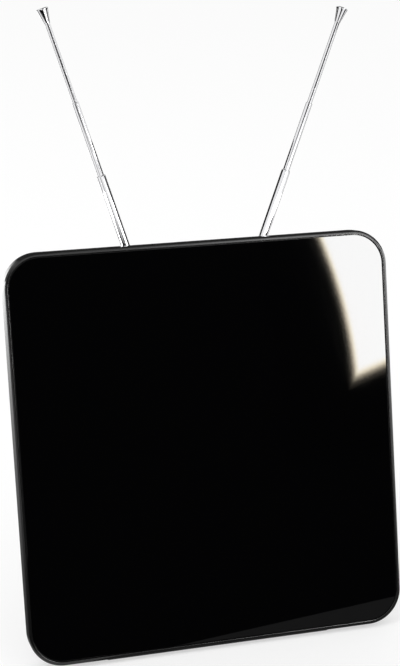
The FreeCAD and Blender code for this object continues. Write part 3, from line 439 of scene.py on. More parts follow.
def turn_on_lathe(name, profile, steps=64):
    """Turn a piece about Z: one ring, carried along the profile by extruding and resizing it.
    A profile that comes back to its first point makes a tube; otherwise both ends are closed."""
    first_radius, first_height = profile[0]
    bpy.ops.mesh.primitive_circle_add(vertices=steps, radius=first_radius, location=(0, 0, first_height))
    piece = settle(name)
    bpy.ops.object.mode_set(mode="EDIT")
    bpy.ops.mesh.select_mode(type="EDGE")
    bpy.ops.mesh.select_all(action="SELECT")
    is_tube = profile[0] == profile[-1]
    if not is_tube:
        bpy.ops.mesh.edge_face_add()
        pick(piece, "EDGE", lambda edge: True)
    for (radius, height), (next_radius, next_height) in zip(profile, profile[1:]):
        extrude(up=next_height - height)
        grow = next_radius / radius
        bpy.ops.transform.resize(value=(grow, grow, 1), center_override=(0, 0, next_height))
    if not is_tube:
        bpy.ops.mesh.edge_face_add()
    return piece


def round_off(middle_radius, middle_height, radius, start, end, steps=5):
    """Points of a profile round an arc; angles in degrees from outwards, turning up."""
    angles = [math.radians(start + (end - start) * i / steps) for i in range(steps + 1)]
    return [(middle_radius + radius * math.cos(a), middle_height + radius * math.sin(a)) for a in angles]


def stand_along_back(piece):
    """Turn a piece that was made along Z to run along the back's normal."""
    piece.data.transform(Matrix.Rotation(-math.pi / 2, 4, "X"))


def gather(pieces, name):
    """Join like pieces into one group."""
    bpy.ops.object.select_all(action="DESELECT")
    for piece in pieces:
        piece.select_set(True)
    bpy.context.view_layer.objects.active = pieces[0]
    bpy.ops.object.join()
    pieces[0].name = name
    return pieces[0]


steel = make_finish(
    "plated_steel", (0.42, 0.42, 0.43), (0.58, 0.58, 0.59),
    scale=2200, smooth=0.2, rough=0.36, relief=0.06, Metallic=1.0,
)
screws = []
for across, up in SCREW_SPOTS:
    screw = turn_on_lathe("case_screw", [
        (SCREW_SHANK_RADIUS * SCREW_POINT_SHARE, -SCREW_SHANK_LENGTH),
        (SCREW_SHANK_RADIUS, -SCREW_SHANK_LENGTH + SCREW_POINT_LENGTH),
        (SCREW_SHANK_RADIUS, 0),
        (SCREW_HEAD_RADIUS, 0),
        *round_off(
            SCREW_HEAD_RADIUS - SCREW_HEAD_ROUND, SCREW_HEAD_HEIGHT - SCREW_HEAD_ROUND,
            SCREW_HEAD_ROUND, 0, 90,
        ),
    ], FASTENER_STEPS)
    close_piece(screw)
    for half, depth in ((CROSS_REACH, CROSS_HALF), (CROSS_HALF, CROSS_REACH)):
        cross = new_block(
            "cross", (-half, -depth, SCREW_HEAD_HEIGHT - CROSS_DEPTH),
            (half, depth, SCREW_HEAD_HEIGHT + CUT_LEAD),
        )
        combine(screw, cross, "DIFFERENCE")
    stand_along_back(screw)
    screw.data.transform(Matrix.Translation((across, SCREW_SEAT, up)))
    screws.append(screw)
case_screws = gather(screws, "cover_screws")
close_piece(case_screws)
fit(case_screws, panel_place, "housing", "steel", steel, "case_screws")


# Foot strip: a soft rubber wedge pegged under the lower edge, cut flat to the table, with grooves along it
# for grip.
FOOT_FRONT, FOOT_BACK = 4.7, 8.0
FOOT_HALF = 60.0
FOOT_BLANK = 3
FOOT_CORNER = 1.2
GROOVE_DEPTHS = (5.6, 7.1)
GROOVE_HALF, GROOVE_CUT, GROOVE_MARGIN = 0.2, 0.35, 3
PEG_RADIUS, PEG_LAP, PEG_TOP = 1.1, 0.3, 2
rubber = make_finish(
    "soft_rubber", (0.008, 0.008, 0.008), (0.02, 0.02, 0.02),
    scale=1800, smooth=0.7, rough=0.9, relief=0.4, IOR=1.45,
)
floor_normal = (0, -math.sin(LEAN), math.cos(LEAN))
strip = new_block("rubber_strip", (-FOOT_HALF, FOOT_FRONT, -FOOT_BLANK), (FOOT_HALF, FOOT_BACK, 0))
bpy.ops.object.mode_set(mode="EDIT")
pick(strip, "EDGE", lambda edge: abs(edge.verts[0].co.z - edge.verts[1].co.z) > 1)
bpy.ops.mesh.bevel(offset=FOOT_CORNER, segments=6, affect="EDGES")
bpy.ops.mesh.select_all(action="SELECT")
bpy.ops.mesh.bisect(plane_co=foot_point, plane_no=floor_normal, clear_inner=True, use_fill=True)
close_piece(strip)
groove_half = FOOT_HALF - GROOVE_MARGIN
for depth in GROOVE_DEPTHS:
    level = floor_height(depth)
    groove = new_block(
        "groove", (-groove_half, depth - GROOVE_HALF, level - CUT_LEAD),
        (groove_half, depth + GROOVE_HALF, level + GROOVE_CUT),
    )
    combine(strip, groove, "DIFFERENCE")
for side in (-1, 1):
    peg_ends = (side * PEG_X, FOOT_MIDDLE, -PEG_LAP), (side * PEG_X, FOOT_MIDDLE, PEG_TOP)
    combine(strip, new_round("peg", PEG_RADIUS, *peg_ends, SMALL_STEPS), "UNION")
close_piece(strip)
fit(strip, panel_place, "housing", "rubber_black", rubber, "foot_strip")


# Stand: a tapered moulded leg in the cover's plastic, hinged on a steel pin. Its heel meets the recess
# floor when it is open, and a finger slot near its toe pulls it out.
STAND_ANGLE = math.radians(26)
STAND_HALF, TOE_HALF = 26.0, 19.0
STAND_FRONT, STAND_BACK = -1.7, 1.8
SHOULDER_DROP = 12.0
HEEL_HEIGHT = 4.0
HEEL_ROOM = 1.98
HEEL_NEAR = 0.1
TOE_LENGTH = 10.0
TONGUE_HALF, TONGUE_THICK, TONGUE_LENGTH, TONGUE_LAP = 16, 0.75, 6.5, 3
GRIP_RISE, GRIP_HEIGHT, GRIP_HALF, GRIP_ROUND = 22.0, 11.0, 12.0, 5.0
HOLLOW_HALF, HOLLOW_RISE, HOLLOW_ROUND, HOLLOW_FLOOR = 14, 5, 4, 0.7
HINGE_HOLE = 0.95
LEG_PAST, HINGE_PAST = 6, 40
stand_slope = STAND_ANGLE - LEAN
hinge_over_floor = HINGE_HEIGHT * math.cos(LEAN) - HINGE_DEPTH * math.sin(LEAN) + FOOT_LIFT
stand_reach = hinge_over_floor / math.cos(stand_slope)
plate_end = stand_reach - TOE_LENGTH
stand_place = (
    panel_place @ Matrix.Translation((0, HINGE_DEPTH, HINGE_HEIGHT)) @ Matrix.Rotation(STAND_ANGLE, 4, "X")
)
leg = new_block(
    "stand_plate", (-STAND_HALF, STAND_FRONT, -plate_end), (STAND_HALF, STAND_BACK, HEEL_HEIGHT),
)
bpy.ops.object.mode_set(mode="EDIT")
heel_foot = (HEEL_ROOM + STAND_FRONT * math.cos(STAND_ANGLE)) / math.sin(STAND_ANGLE)
for level in (-SHOULDER_DROP, heel_foot):
    bpy.ops.mesh.select_all(action="SELECT")
    bpy.ops.mesh.bisect(plane_co=(0, 0, level), plane_no=(0, 0, 1))
pick(leg, "VERT", lambda point: abs(point.co.z + plate_end) < TOUCHING)
bpy.ops.transform.resize(value=(TOE_HALF / STAND_HALF, 1, 1), center_override=(0, 0, -plate_end))
heel_back = (HEEL_HEIGHT * math.sin(STAND_ANGLE) - HEEL_ROOM) / math.cos(STAND_ANGLE)
pick(leg, "VERT", lambda point: point.co.z > HEEL_HEIGHT - HEEL_NEAR and point.co.y < 0)
bpy.ops.transform.translate(value=(0, heel_back - STAND_FRONT, 0))
close_piece(leg)
tongue = new_block(
    "tongue", (-TONGUE_HALF, -TONGUE_THICK, -plate_end - TONGUE_LENGTH),
    (TONGUE_HALF, TONGUE_THICK, -plate_end + TONGUE_LAP),
)
combine(leg, tongue, "UNION")


def new_slot(name, half, low, high, corner, front, back):
    """A rounded upright slot, to cut with."""
    slot = new_block(name, (-half, front, low), (half, back, high))
    bpy.ops.object.mode_set(mode="EDIT")
    pick(slot, "EDGE", lambda edge: abs(edge.verts[0].co.y - edge.verts[1].co.y) > abs(back - front) / 2)
    bpy.ops.mesh.bevel(offset=corner, segments=8, affect="EDGES")
    bpy.ops.object.mode_set(mode="OBJECT")
    return slot


grip_low = GRIP_RISE - plate_end
grip_high = grip_low + GRIP_HEIGHT
for cutter in (
    new_slot("grip", GRIP_HALF, grip_low, grip_high, GRIP_ROUND, -LEG_PAST, LEG_PAST),
    new_slot(
        "hollow", HOLLOW_HALF, grip_high + HOLLOW_RISE, -SHOULDER_DROP,
        HOLLOW_ROUND, HOLLOW_FLOOR, LEG_PAST,
    ),
    new_round("hinge_hole", HINGE_HOLE, (-HINGE_PAST, 0, 0), (HINGE_PAST, 0, 0), SMALL_STEPS),
):
    combine(leg, cutter, "DIFFERENCE")
soften(leg, width=0.25)
close_piece(leg)
fit(leg, stand_place, "stand", "cover_black", cover_plastic, "stand_leg")


# Toe: a rubber shoe pushed on the leg's tongue, cut flat to the table, with three grip grooves across
# its front and its back.
TONGUE_ROOM = 0.05
RIB_COUNT, RIB_START, RIB_PITCH = 3, 2.5, 2.0
RIB_HALF, RIB_CUT, RIB_MARGIN = 0.4, 0.3, 2
toe = new_block("rubber_toe", (-TOE_HALF, STAND_FRONT, -stand_reach), (TOE_HALF, STAND_BACK, -plate_end))
bpy.ops.object.mode_set(mode="EDIT")
for edge_depth in (STAND_FRONT, STAND_BACK):
    pick(toe, "VERT", lambda point: (
        point.co.z < -plate_end - 1 and abs(point.co.y - edge_depth) < TOUCHING
    ))
    bpy.ops.transform.translate(value=(0, 0, -edge_depth * math.tan(stand_slope)))
close_piece(toe)
toe_slot_half = TONGUE_HALF + TONGUE_ROOM
toe_slot_thick = TONGUE_THICK + TONGUE_ROOM
toe_slot = new_block(
    "toe_slot", (-toe_slot_half, -toe_slot_thick, -plate_end - (TONGUE_LENGTH + TONGUE_ROOM)),
    (toe_slot_half, toe_slot_thick, -plate_end + CUT_PAST),
)
combine(toe, toe_slot, "DIFFERENCE")
rib_half = TOE_HALF - RIB_MARGIN
for number in range(RIB_COUNT):
    level = -plate_end - RIB_START - RIB_PITCH * number
    for front, back in (
        (STAND_FRONT - CUT_LEAD, STAND_FRONT + RIB_CUT),
        (STAND_BACK - RIB_CUT, STAND_BACK + CUT_LEAD),
    ):
        rib = new_block("rib", (-rib_half, front, level - RIB_HALF), (rib_half, back, level + RIB_HALF))
        combine(toe, rib, "DIFFERENCE")
soften(toe, width=0.12)
close_piece(toe)
fit(toe, stand_place, "stand", "rubber_black", rubber, "stand_toe")


# Coaxial socket: a turned, nickel-plated body with a hexagon outside the cover, a relief groove and a
# fine screw thread for the aerial plug. Its middle is a white insulator round the contact.
HEX_FLATS = 13.0
HEX_FRONT, HEX_BACK = 13.2, 15.6
HEX_BORE, HEX_BORE_END = 4.1, 40
THREAD_RADIUS, THREAD_ROOT = 4.7625, 4.36
THREAD_START, THREAD_END = 16.4, 25.0
THREAD_PITCH = 0.794
THREAD_RELIEF = 4.2
THREAD_RISE, THREAD_FALL = 0.4, 0.6
THREAD_PLAIN, THREAD_CHAMFER = 0.4, 0.2
SOCKET_BORE = 3.9
SOCKET_FRONT = 8.0
WASHER_RADIUS, WASHER_EDGE = 7.0, 6.8
WASHER_FRONT_EDGE, WASHER_BACK_EDGE = 12.75, 13.05
CONTACT_BORE, CONTACT_MOUTH = 0.5, 0.9
INSULATOR_RADIUS, INSULATOR_END, INSULATOR_MOUTH = 3.87, 24.5, 24.1
socket_place = panel_place @ Matrix.Translation((SOCKET_X, 0, SOCKET_Z))
nickel = make_finish(
    "nickel_plate", (0.6, 0.58, 0.54), (0.72, 0.7, 0.66),
    scale=1600, smooth=0.12, rough=0.24, relief=0.03, Metallic=1.0,
)
thread_profile = []
height = THREAD_START
while height + THREAD_PITCH < THREAD_END - THREAD_PLAIN:
    thread_profile += [
        (THREAD_ROOT, height),
        (THREAD_RADIUS, height + THREAD_RISE * THREAD_PITCH),
        (THREAD_RADIUS, height + THREAD_FALL * THREAD_PITCH),
    ]
    height += THREAD_PITCH
socket = turn_on_lathe("aerial_socket", [
    (SOCKET_BORE, SOCKET_FRONT),
    (THREAD_RADIUS, SOCKET_FRONT),
    (THREAD_RADIUS, HEX_BACK),
    (THREAD_RELIEF, HEX_BACK),
    (THREAD_RELIEF, THREAD_START),
    *thread_profile,
    (THREAD_ROOT, height),
    (THREAD_ROOT, THREAD_END - THREAD_CHAMFER),
    (THREAD_ROOT - THREAD_CHAMFER, THREAD_END),
    (SOCKET_BORE, THREAD_END),
    (SOCKET_BORE, SOCKET_FRONT),
])
close_piece(socket)
bpy.ops.mesh.primitive_cylinder_add(
    vertices=6, radius=HEX_FLATS / math.sqrt(3), depth=HEX_BACK - HEX_FRONT,
    location=(0, 0, (HEX_FRONT + HEX_BACK) / 2), rotation=(0, 0, math.pi / 2),
)
hexagon = settle("hexagon")
combine(hexagon, new_round("hex_bore", HEX_BORE, (0, 0, 0), (0, 0, HEX_BORE_END)), "DIFFERENCE")
soften(hexagon, width=0.3)
combine(socket, hexagon, "UNION")
close_piece(socket)
stand_along_back(socket)
fit(socket, socket_place, "housing", "nickel", nickel, "coax_socket")
washer = turn_on_lathe("aerial_washer", [
    (SOCKET_HOLE, COVER_DEPTH),
    (WASHER_EDGE, COVER_DEPTH),
    (WASHER_RADIUS, WASHER_FRONT_EDGE),
    (WASHER_RADIUS, WASHER_BACK_EDGE),
    (WASHER_EDGE, HEX_FRONT),
    (SOCKET_HOLE, HEX_FRONT),
    (SOCKET_HOLE, COVER_DEPTH),
])
close_piece(washer)
stand_along_back(washer)
fit(washer, socket_place, "housing", "nickel", nickel, "socket_washer")
white_plastic = make_finish(
    "white_insulator", (0.74, 0.74, 0.7), (0.84, 0.84, 0.81),
    scale=900, smooth=0.35, rough=0.5, relief=0.08, IOR=1.42,
)
insulator = turn_on_lathe("aerial_insulator", [
    (CONTACT_BORE, SOCKET_FRONT),
    (INSULATOR_RADIUS, SOCKET_FRONT),
    (INSULATOR_RADIUS, INSULATOR_END),
    (CONTACT_MOUTH, INSULATOR_END),
    (CONTACT_BORE, INSULATOR_MOUTH),
    (CONTACT_BORE, SOCKET_FRONT),
])
close_piece(insulator)
stand_along_back(insulator)
fit(insulator, socket_place, "housing", "white_plastic", white_plastic, "socket_insulator")


# Telescopic rods: chromed brass tubes that slide in one another, with rolled mouths and a flared button at
# the end. Each stands in a forked stud that swivels in the cover and tilts on a rivet.
SWIVEL_ANGLES = {"left": -16.1, "right": 23.1}
MIDDLE_DRAWS = {"left": 38.6, "right": 36.9}
INNER_DRAWS = {"left": 41.0, "right": 44.4}
PIVOT_DEPTH = 16.2
STUD_BORE, STUD_BORE_END = 1.5, -4.7
SHANK_RADIUS, SHANK_END = 2.8, -8.1
BARREL_FOOT, BARREL_FOOT_RADIUS = -3.35, 4.5
BARREL_RADIUS, BARREL_LOW, BARREL_TOP = 4.8, -3.05, 1.9
BARREL_ROUND, BARREL_ROUND_MIDDLE = 0.4, 4.4
FORK_HALF, FORK_FLOOR, FLAT_HALF = 1.2, -2.7, 3.6
STUD_PAST, STUD_PAST_BACK, STUD_PAST_SIDE = 10, 6, 8
RIVET_RADIUS, RIVET_HOLE, EYE_HOLE = 0.9, 0.92, 0.95
RIVET_DOME = [(1.6, 3.6), (1.55, 3.75), (1.3, 3.98), (0.9, 4.13), (0.4, 4.2)]
COLLAR_RADIUS, COLLAR_FOOT, COLLAR_FOOT_RADIUS = 2.4, 5.6, 2.0
COLLAR_ROUND, COLLAR_ROUND_RADIUS, COLLAR_ROUND_HEIGHT = 0.3, 2.1, 5.9
PLUG_RADIUS, PLUG_TOP, PLUG_POINT, PLUG_END = 1.86, 14.6, 1.46, 15.0
WEB_HALF, WEB_DEPTH, WEB_TOP, WEB_PAST = 1.1, 2.2, 6.4, 3
BASE_START, BASE_REACH = 7.2, 70.4
BASE_RADIUS, BASE_BORE, BASE_MOUTH, BASE_ROLL = 2.25, 1.9, 0.8, 0.45
MIDDLE_RADIUS, MIDDLE_BORE, MIDDLE_MOUTH, MIDDLE_ROLL = 1.65, 1.35, 0.6, 0.28
MIDDLE_LENGTH = 52.5
LIP_ROOM, LIP_CHAMFER, ROLL_START = 0.06, 0.06, 12
INNER_RADIUS, INNER_LENGTH, INNER_CHAMFER = 1.25, 51.4, 0.1
INNER_NECK, INNER_NECK_LENGTH = 1.0, 6.1
TIP_LENGTH, TIP_LOW, TIP_TOP, TIP_ROUND = 7.8, 1.5, 3.0, 0.5
TIP_BORE, TIP_BORE_DEPTH = 1.27, 4.0
TIP_CHAMFER, TIP_CHAMFER_HEIGHT = 0.08, 0.1
TIP_FLARE, TIP_FLARE_HEIGHT = 2.7, 6.4
chrome = make_finish(
    "polished_chrome", (0.78, 0.78, 0.8), (0.86, 0.86, 0.87),
    scale=700, smooth=0.03, rough=0.07, relief=0.01, Metallic=1.0,
)


def make_stud(side):
    """The swivel stud: a barrel with flats, a fork for the knuckle and a shank through the cover."""
    stud = turn_on_lathe(f"{side}_forked_stud", [
        (STUD_BORE, STUD_BORE_END),
        (STUD_BORE, SHANK_END),
        (SHANK_RADIUS, SHANK_END),
        (SHANK_RADIUS, BARREL_FOOT),
        (BARREL_FOOT_RADIUS, BARREL_FOOT),
        (BARREL_RADIUS, BARREL_LOW),
        (BARREL_RADIUS, BARREL_TOP),
        *round_off(BARREL_ROUND_MIDDLE, BARREL_TOP, BARREL_ROUND, 0, 90),
    ])
    close_piece(stud)
    stand_along_back(stud)
    for name, left, right in (
        ("slot", -FORK_HALF, FORK_HALF),
        ("flat", -STUD_PAST_SIDE, -FLAT_HALF),
        ("flat", FLAT_HALF, STUD_PAST_SIDE),
    ):
        cutter = new_block(name, (left, FORK_FLOOR, -STUD_PAST), (right, STUD_PAST_BACK, STUD_PAST))
        combine(stud, cutter, "DIFFERENCE")
    hole_ends = (-STUD_PAST_SIDE, 0, 0), (STUD_PAST_SIDE, 0, 0)
    combine(stud, new_round("rivet_hole", RIVET_HOLE, *hole_ends, SMALL_STEPS), "DIFFERENCE")
    soften(stud, width=0.12)
    close_piece(stud)
    return stud


def make_rivet(side):
    """The tilt rivet, with its two domed heads on the stud's flats."""
    lower = [(radius, -height) for radius, height in reversed(RIVET_DOME)]
    shank = [(RIVET_RADIUS, -FLAT_HALF), (RIVET_RADIUS, FLAT_HALF)]
    rivet = turn_on_lathe(f"{side}_domed_rivet", [*lower, *shank, *RIVET_DOME], FASTENER_STEPS)
    close_piece(rivet, smooth_angle=60)
    rivet.data.transform(Matrix.Rotation(math.pi / 2, 4, "Y"))
    return rivet


def make_knuckle(side):
    """The knuckle: a flat round-ended tongue, a collar and a plug inside the base tube."""
    knuckle = turn_on_lathe(f"{side}_rod_knuckle", [
        (COLLAR_FOOT_RADIUS, COLLAR_FOOT),
        (COLLAR_ROUND_RADIUS, COLLAR_FOOT),
        *round_off(COLLAR_ROUND_RADIUS, COLLAR_ROUND_HEIGHT, COLLAR_ROUND, -60, 0, 3),
        (COLLAR_RADIUS, BASE_START),
        (PLUG_RADIUS, BASE_START),
        (PLUG_RADIUS, PLUG_TOP),
        (PLUG_POINT, PLUG_END),
    ])
    close_piece(knuckle)
    web = new_block("web", (-WEB_HALF, -WEB_DEPTH, 0), (WEB_HALF, WEB_DEPTH, WEB_TOP))
    combine(knuckle, web, "UNION")
    eye = new_round("eye", COLLAR_RADIUS, (-WEB_HALF, 0, 0), (WEB_HALF, 0, 0), BOSS_STEPS)
    combine(knuckle, eye, "UNION")
    eye_hole = new_round("eye_hole", EYE_HOLE, (-WEB_PAST, 0, 0), (WEB_PAST, 0, 0), SMALL_STEPS)
    combine(knuckle, eye_hole, "DIFFERENCE")
    close_piece(knuckle)
    return knuckle


def make_tube(name, low, high, radius, bore, mouth, lip, roll):
    """A drawn tube from one height to another, its mouth rolled in to a lip."""
    tube = turn_on_lathe(name, [
        (bore, low),
        (radius, low),
        (radius, high - roll),
        *round_off(radius - roll, high - roll, roll, ROLL_START, 90),
        (lip + LIP_CHAMFER, high),
        (lip, high - LIP_CHAMFER),
        (lip, high - mouth),
        (bore, high - mouth),
        (bore, low),
    ])
    close_piece(tube, smooth_angle=40)
    return tube


def make_inner_rod(name, low, high):
    """The thin rod, with a neck for its sleeve below and its end inside the button."""
    rod = turn_on_lathe(name, [
        (INNER_NECK, low),
        (INNER_NECK, low + INNER_NECK_LENGTH),
        (INNER_RADIUS, low + INNER_NECK_LENGTH),
        (INNER_RADIUS, high + (TIP_BORE_DEPTH - INNER_CHAMFER)),
        (INNER_RADIUS - INNER_CHAMFER, high + TIP_BORE_DEPTH),
    ])
    close_piece(rod)
    return rod


def make_tip(name, low):
    """The flared button at the end of the inner rod."""
    high = low + TIP_LENGTH
    tip = turn_on_lathe(name, [
        (TIP_BORE, low + TIP_BORE_DEPTH),
        (TIP_BORE, low),
        (TIP_LOW - TIP_CHAMFER, low),
        (TIP_LOW, low + TIP_CHAMFER_HEIGHT),
        (TIP_FLARE, low + TIP_FLARE_HEIGHT),
        *round_off(TIP_TOP - TIP_ROUND, high - TIP_ROUND, TIP_ROUND, -10, 90, 6),
    ])
    close_piece(tip, smooth_angle=40)
    return tip


for side, sign in (("left", -1), ("right", 1)):
    pivot = Matrix.Translation((sign * PIVOT_X, PIVOT_DEPTH, PIVOT_HEIGHT))
    aim = Matrix.Rotation(math.radians(SWIVEL_ANGLES[side]), 4, "Y")
    rod_place = panel_place @ pivot @ aim
    middle_top = BASE_REACH + MIDDLE_DRAWS[side]
    inner_top = middle_top + INNER_DRAWS[side]
    swivel, base, middle, inner = (f"{side}_{name}" for name in ("swivel", "base", "middle", "inner"))
    fit(make_stud(side), rod_place, swivel, "chrome", chrome, f"{side}_swivel_stud")
    fit(make_rivet(side), rod_place, swivel, "chrome", chrome, f"{side}_tilt_rivet")
    fit(make_knuckle(side), rod_place, base, "chrome", chrome, f"{side}_knuckle")
    base_tube = make_tube(
        f"{side}_lower_tube", BASE_START, BASE_REACH, BASE_RADIUS, BASE_BORE,
        BASE_MOUTH, MIDDLE_RADIUS + LIP_ROOM, BASE_ROLL,
    )
    fit(base_tube, rod_place, base, "chrome", chrome, f"{side}_base_tube")
    middle_tube = make_tube(
        f"{side}_upper_tube", middle_top - MIDDLE_LENGTH, middle_top, MIDDLE_RADIUS, MIDDLE_BORE,
        MIDDLE_MOUTH, INNER_RADIUS + LIP_ROOM, MIDDLE_ROLL,
    )
    fit(middle_tube, rod_place, middle, "chrome", chrome, f"{side}_middle_tube")
    inner_rod = make_inner_rod(f"{side}_thin_rod", inner_top - INNER_LENGTH, inner_top)
    fit(inner_rod, rod_place, inner, "chrome", chrome, f"{side}_inner_rod")
    fit(make_tip(f"{side}_button", inner_top), rod_place, inner, "chrome", chrome, f"{side}_tip")


# Inner pieces: the board with its can, core and screws, the swivels' screws, washers and lugs, the leads,
# the socket's nut and contact, the sliding sleeves and the stand's pin. They keep their CAD shapes and
# take their own finishes.
SIDES = ("left", "right")
brass = make_finish(
    "plain_brass", (0.56, 0.4, 0.15), (0.7, 0.53, 0.24),
    scale=1500, smooth=0.2, rough=0.38, relief=0.05, Metallic=1.0,
)
tin_plate = make_finish(
    "tin_plate", (0.6, 0.6, 0.58), (0.72, 0.72, 0.7),
    scale=600, smooth=0.24, rough=0.42, relief=0.05, Metallic=1.0,
)
ferrite = make_finish(
    "ground_ferrite", (0.03, 0.03, 0.032), (0.08, 0.08, 0.082),
    scale=2000, smooth=0.4, rough=0.65, relief=0.2,
)
board_lacquer = make_finish(
    "board_lacquer", (0.03, 0.09, 0.03), (0.06, 0.14, 0.05),
    scale=350, smooth=0.22, rough=0.4, relief=0.05,
)
lead_sheath = make_finish(
    "lead_sheath", (0.3, 0.02, 0.015), (0.42, 0.04, 0.03),
    scale=1200, smooth=0.35, rough=0.5, relief=0.05,
)
kept_nodes = (
    (steel, ["board_screws", "stand_pin"]),
    (steel, [f"{side}_{name}" for side in SIDES for name in ("swivel_washer", "swivel_screw")]),
    (brass, [f"{side}_{name}_sleeve" for side in SIDES for name in ("middle", "inner")]),
    (brass, [f"{side}_solder_lug" for side in SIDES]),
    (brass, ["socket_contact"]),
    (nickel, ["socket_nut"]),
    (tin_plate, ["shield_can"]),
    (ferrite, ["balun_core"]),
    (board_lacquer, ["element_board"]),
    (lead_sheath, [f"{side}_lead" for side in SIDES]),
)
for finish, nodes in kept_nodes:
    for node in nodes:
        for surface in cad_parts[node].material_slots:
            surface.material = finish


# Studio: a pale table in a plain white surround, with one soft lamp. The camera and reflections see the
# table and the surround as white; the table keeps the object's shadow.
SURROUND_LEVEL = 0.8
TABLE_LIFT = 0.55
TABLE_GREY = 0.5
TABLE_ROUGHNESS = 0.9
TABLE_SIZE = 14
LAMP_SIZE = 1.2
LAMP_POWER = 12
LAMP_PLACE = (-1.2, -0.6, 2.2)
scene = bpy.context.scene
scene.view_settings.view_transform = "Standard"


def seen_directly(tree):
    """1 for rays from the camera, from a reflection or through glass, and 0 for other light."""
    path = tree.nodes.new("ShaderNodeLightPath")
    total = path.outputs["Is Camera Ray"]
    for kind in ("Is Glossy Ray", "Is Transmission Ray"):
        add = tree.nodes.new("ShaderNodeMath")
        add.use_clamp = True
        tree.links.new(total, add.inputs[0])
        tree.links.new(path.outputs[kind], add.inputs[1])
        total = add.outputs["Value"]
    return total


def between(tree, amount, low, high, start=0, end=1):
    """A number that runs from low to high while an amount runs from start to end."""
    scale = tree.nodes.new("ShaderNodeMapRange")
    for socket, number in zip(("From Min", "From Max", "To Min", "To Max"), (start, end, low, high)):
        scale.inputs[socket].default_value = number
    tree.links.new(amount, scale.inputs["Value"])
    return scale.outputs["Result"]


surround = bpy.data.worlds.new("white_surround")
scene.world = surround
surround.use_nodes = True
sky = surround.node_tree.nodes["Background"]
sky.inputs["Color"].default_value = (1, 1, 1, 1)
level = between(surround.node_tree, seen_directly(surround.node_tree), SURROUND_LEVEL, 1)
surround.node_tree.links.new(level, sky.inputs["Strength"])

table_finish = bpy.data.materials.new("pale_table")
table_finish.use_nodes = True
table_shader = table_finish.node_tree.nodes["Principled BSDF"]
table_shader.inputs["Base Color"].default_value = (TABLE_GREY, TABLE_GREY, TABLE_GREY, 1)
table_shader.inputs["Roughness"].default_value = TABLE_ROUGHNESS
table_shader.inputs["Specular IOR Level"].default_value = 0
table_shader.inputs["Emission Color"].default_value = (1, 1, 1, 1)
lift = between(table_finish.node_tree, seen_directly(table_finish.node_tree), 0, TABLE_LIFT)
table_finish.node_tree.links.new(lift, table_shader.inputs["Emission Strength"])
bpy.ops.mesh.primitive_plane_add(size=1)
table = bpy.context.object
table.name = "table_top"
table.scale = (TABLE_SIZE, TABLE_SIZE, 1)
table.data.materials.append(table_finish)

lamp = bpy.data.lights.new("soft_lamp", "AREA")
lamp.shape = "DISK"
lamp.size = LAMP_SIZE
lamp.energy = LAMP_POWER
holder = bpy.data.objects.new("soft_lamp", lamp)
holder.location = LAMP_PLACE
holder.rotation_euler = Vector(LAMP_PLACE).to_track_quat("Z", "Y").to_euler()
scene.collection.objects.link(holder)


# Reflected cards: what the gloss and the chrome mirror besides the white surround. Dark and white cards
# and mats stand round the object, with a bright warm-edged softbox in front on the right. They give no
# other light.
def add_card(name, place, turn, width, height):
    """A flat card that only reflections show, and its glow."""
    bpy.ops.mesh.primitive_plane_add(size=1, location=place, rotation=turn)
    card = bpy.context.object
    card.name = name
    card.scale = (width, height, 1)
    card.visible_camera = False
    card.visible_diffuse = False
    card.visible_transmission = False
    card.visible_shadow = False
    paint = bpy.data.materials.new(name)
    paint.use_nodes = True
    tree = paint.node_tree
    tree.nodes.remove(tree.nodes["Principled BSDF"])
    glow = tree.nodes.new("ShaderNodeEmission")
    tree.links.new(glow.outputs["Emission"], tree.nodes["Material Output"].inputs["Surface"])
    card.data.materials.append(paint)
    return tree, glow


def across_and_up(tree):
    """The card's own two coordinates."""
    place = tree.nodes.new("ShaderNodeTexCoord")
    split = tree.nodes.new("ShaderNodeSeparateXYZ")
    tree.links.new(place.outputs["Object"], split.inputs["Vector"])
    return split.outputs["X"], split.outputs["Y"]


def reckon(tree, operation, *terms):
    """The result of one sum on numbers or other results."""
    node = tree.nodes.new("ShaderNodeMath")
    node.operation = operation
    for socket, term in zip(node.inputs, terms):
        if isinstance(term, (int, float)):
            socket.default_value = term
        else:
            tree.links.new(term, socket)
    return node.outputs["Value"]


def growing(tree, amount, rate, middle):
    """A number that has one value where an amount is 0, and grows by a rate for each 1 of the amount."""
    return reckon(tree, "MULTIPLY", reckon(tree, "POWER", rate, amount), middle)


def rolled(degrees, heading=0):
    """The turn of an upright card that is tipped in its own plane and then faces a heading."""
    return math.pi / 2, math.radians(degrees), math.radians(heading)


flat = (0, 0, 0)
upright = (math.pi / 2, 0, 0)
leant = rolled(LEAN_DEGREES, 90)

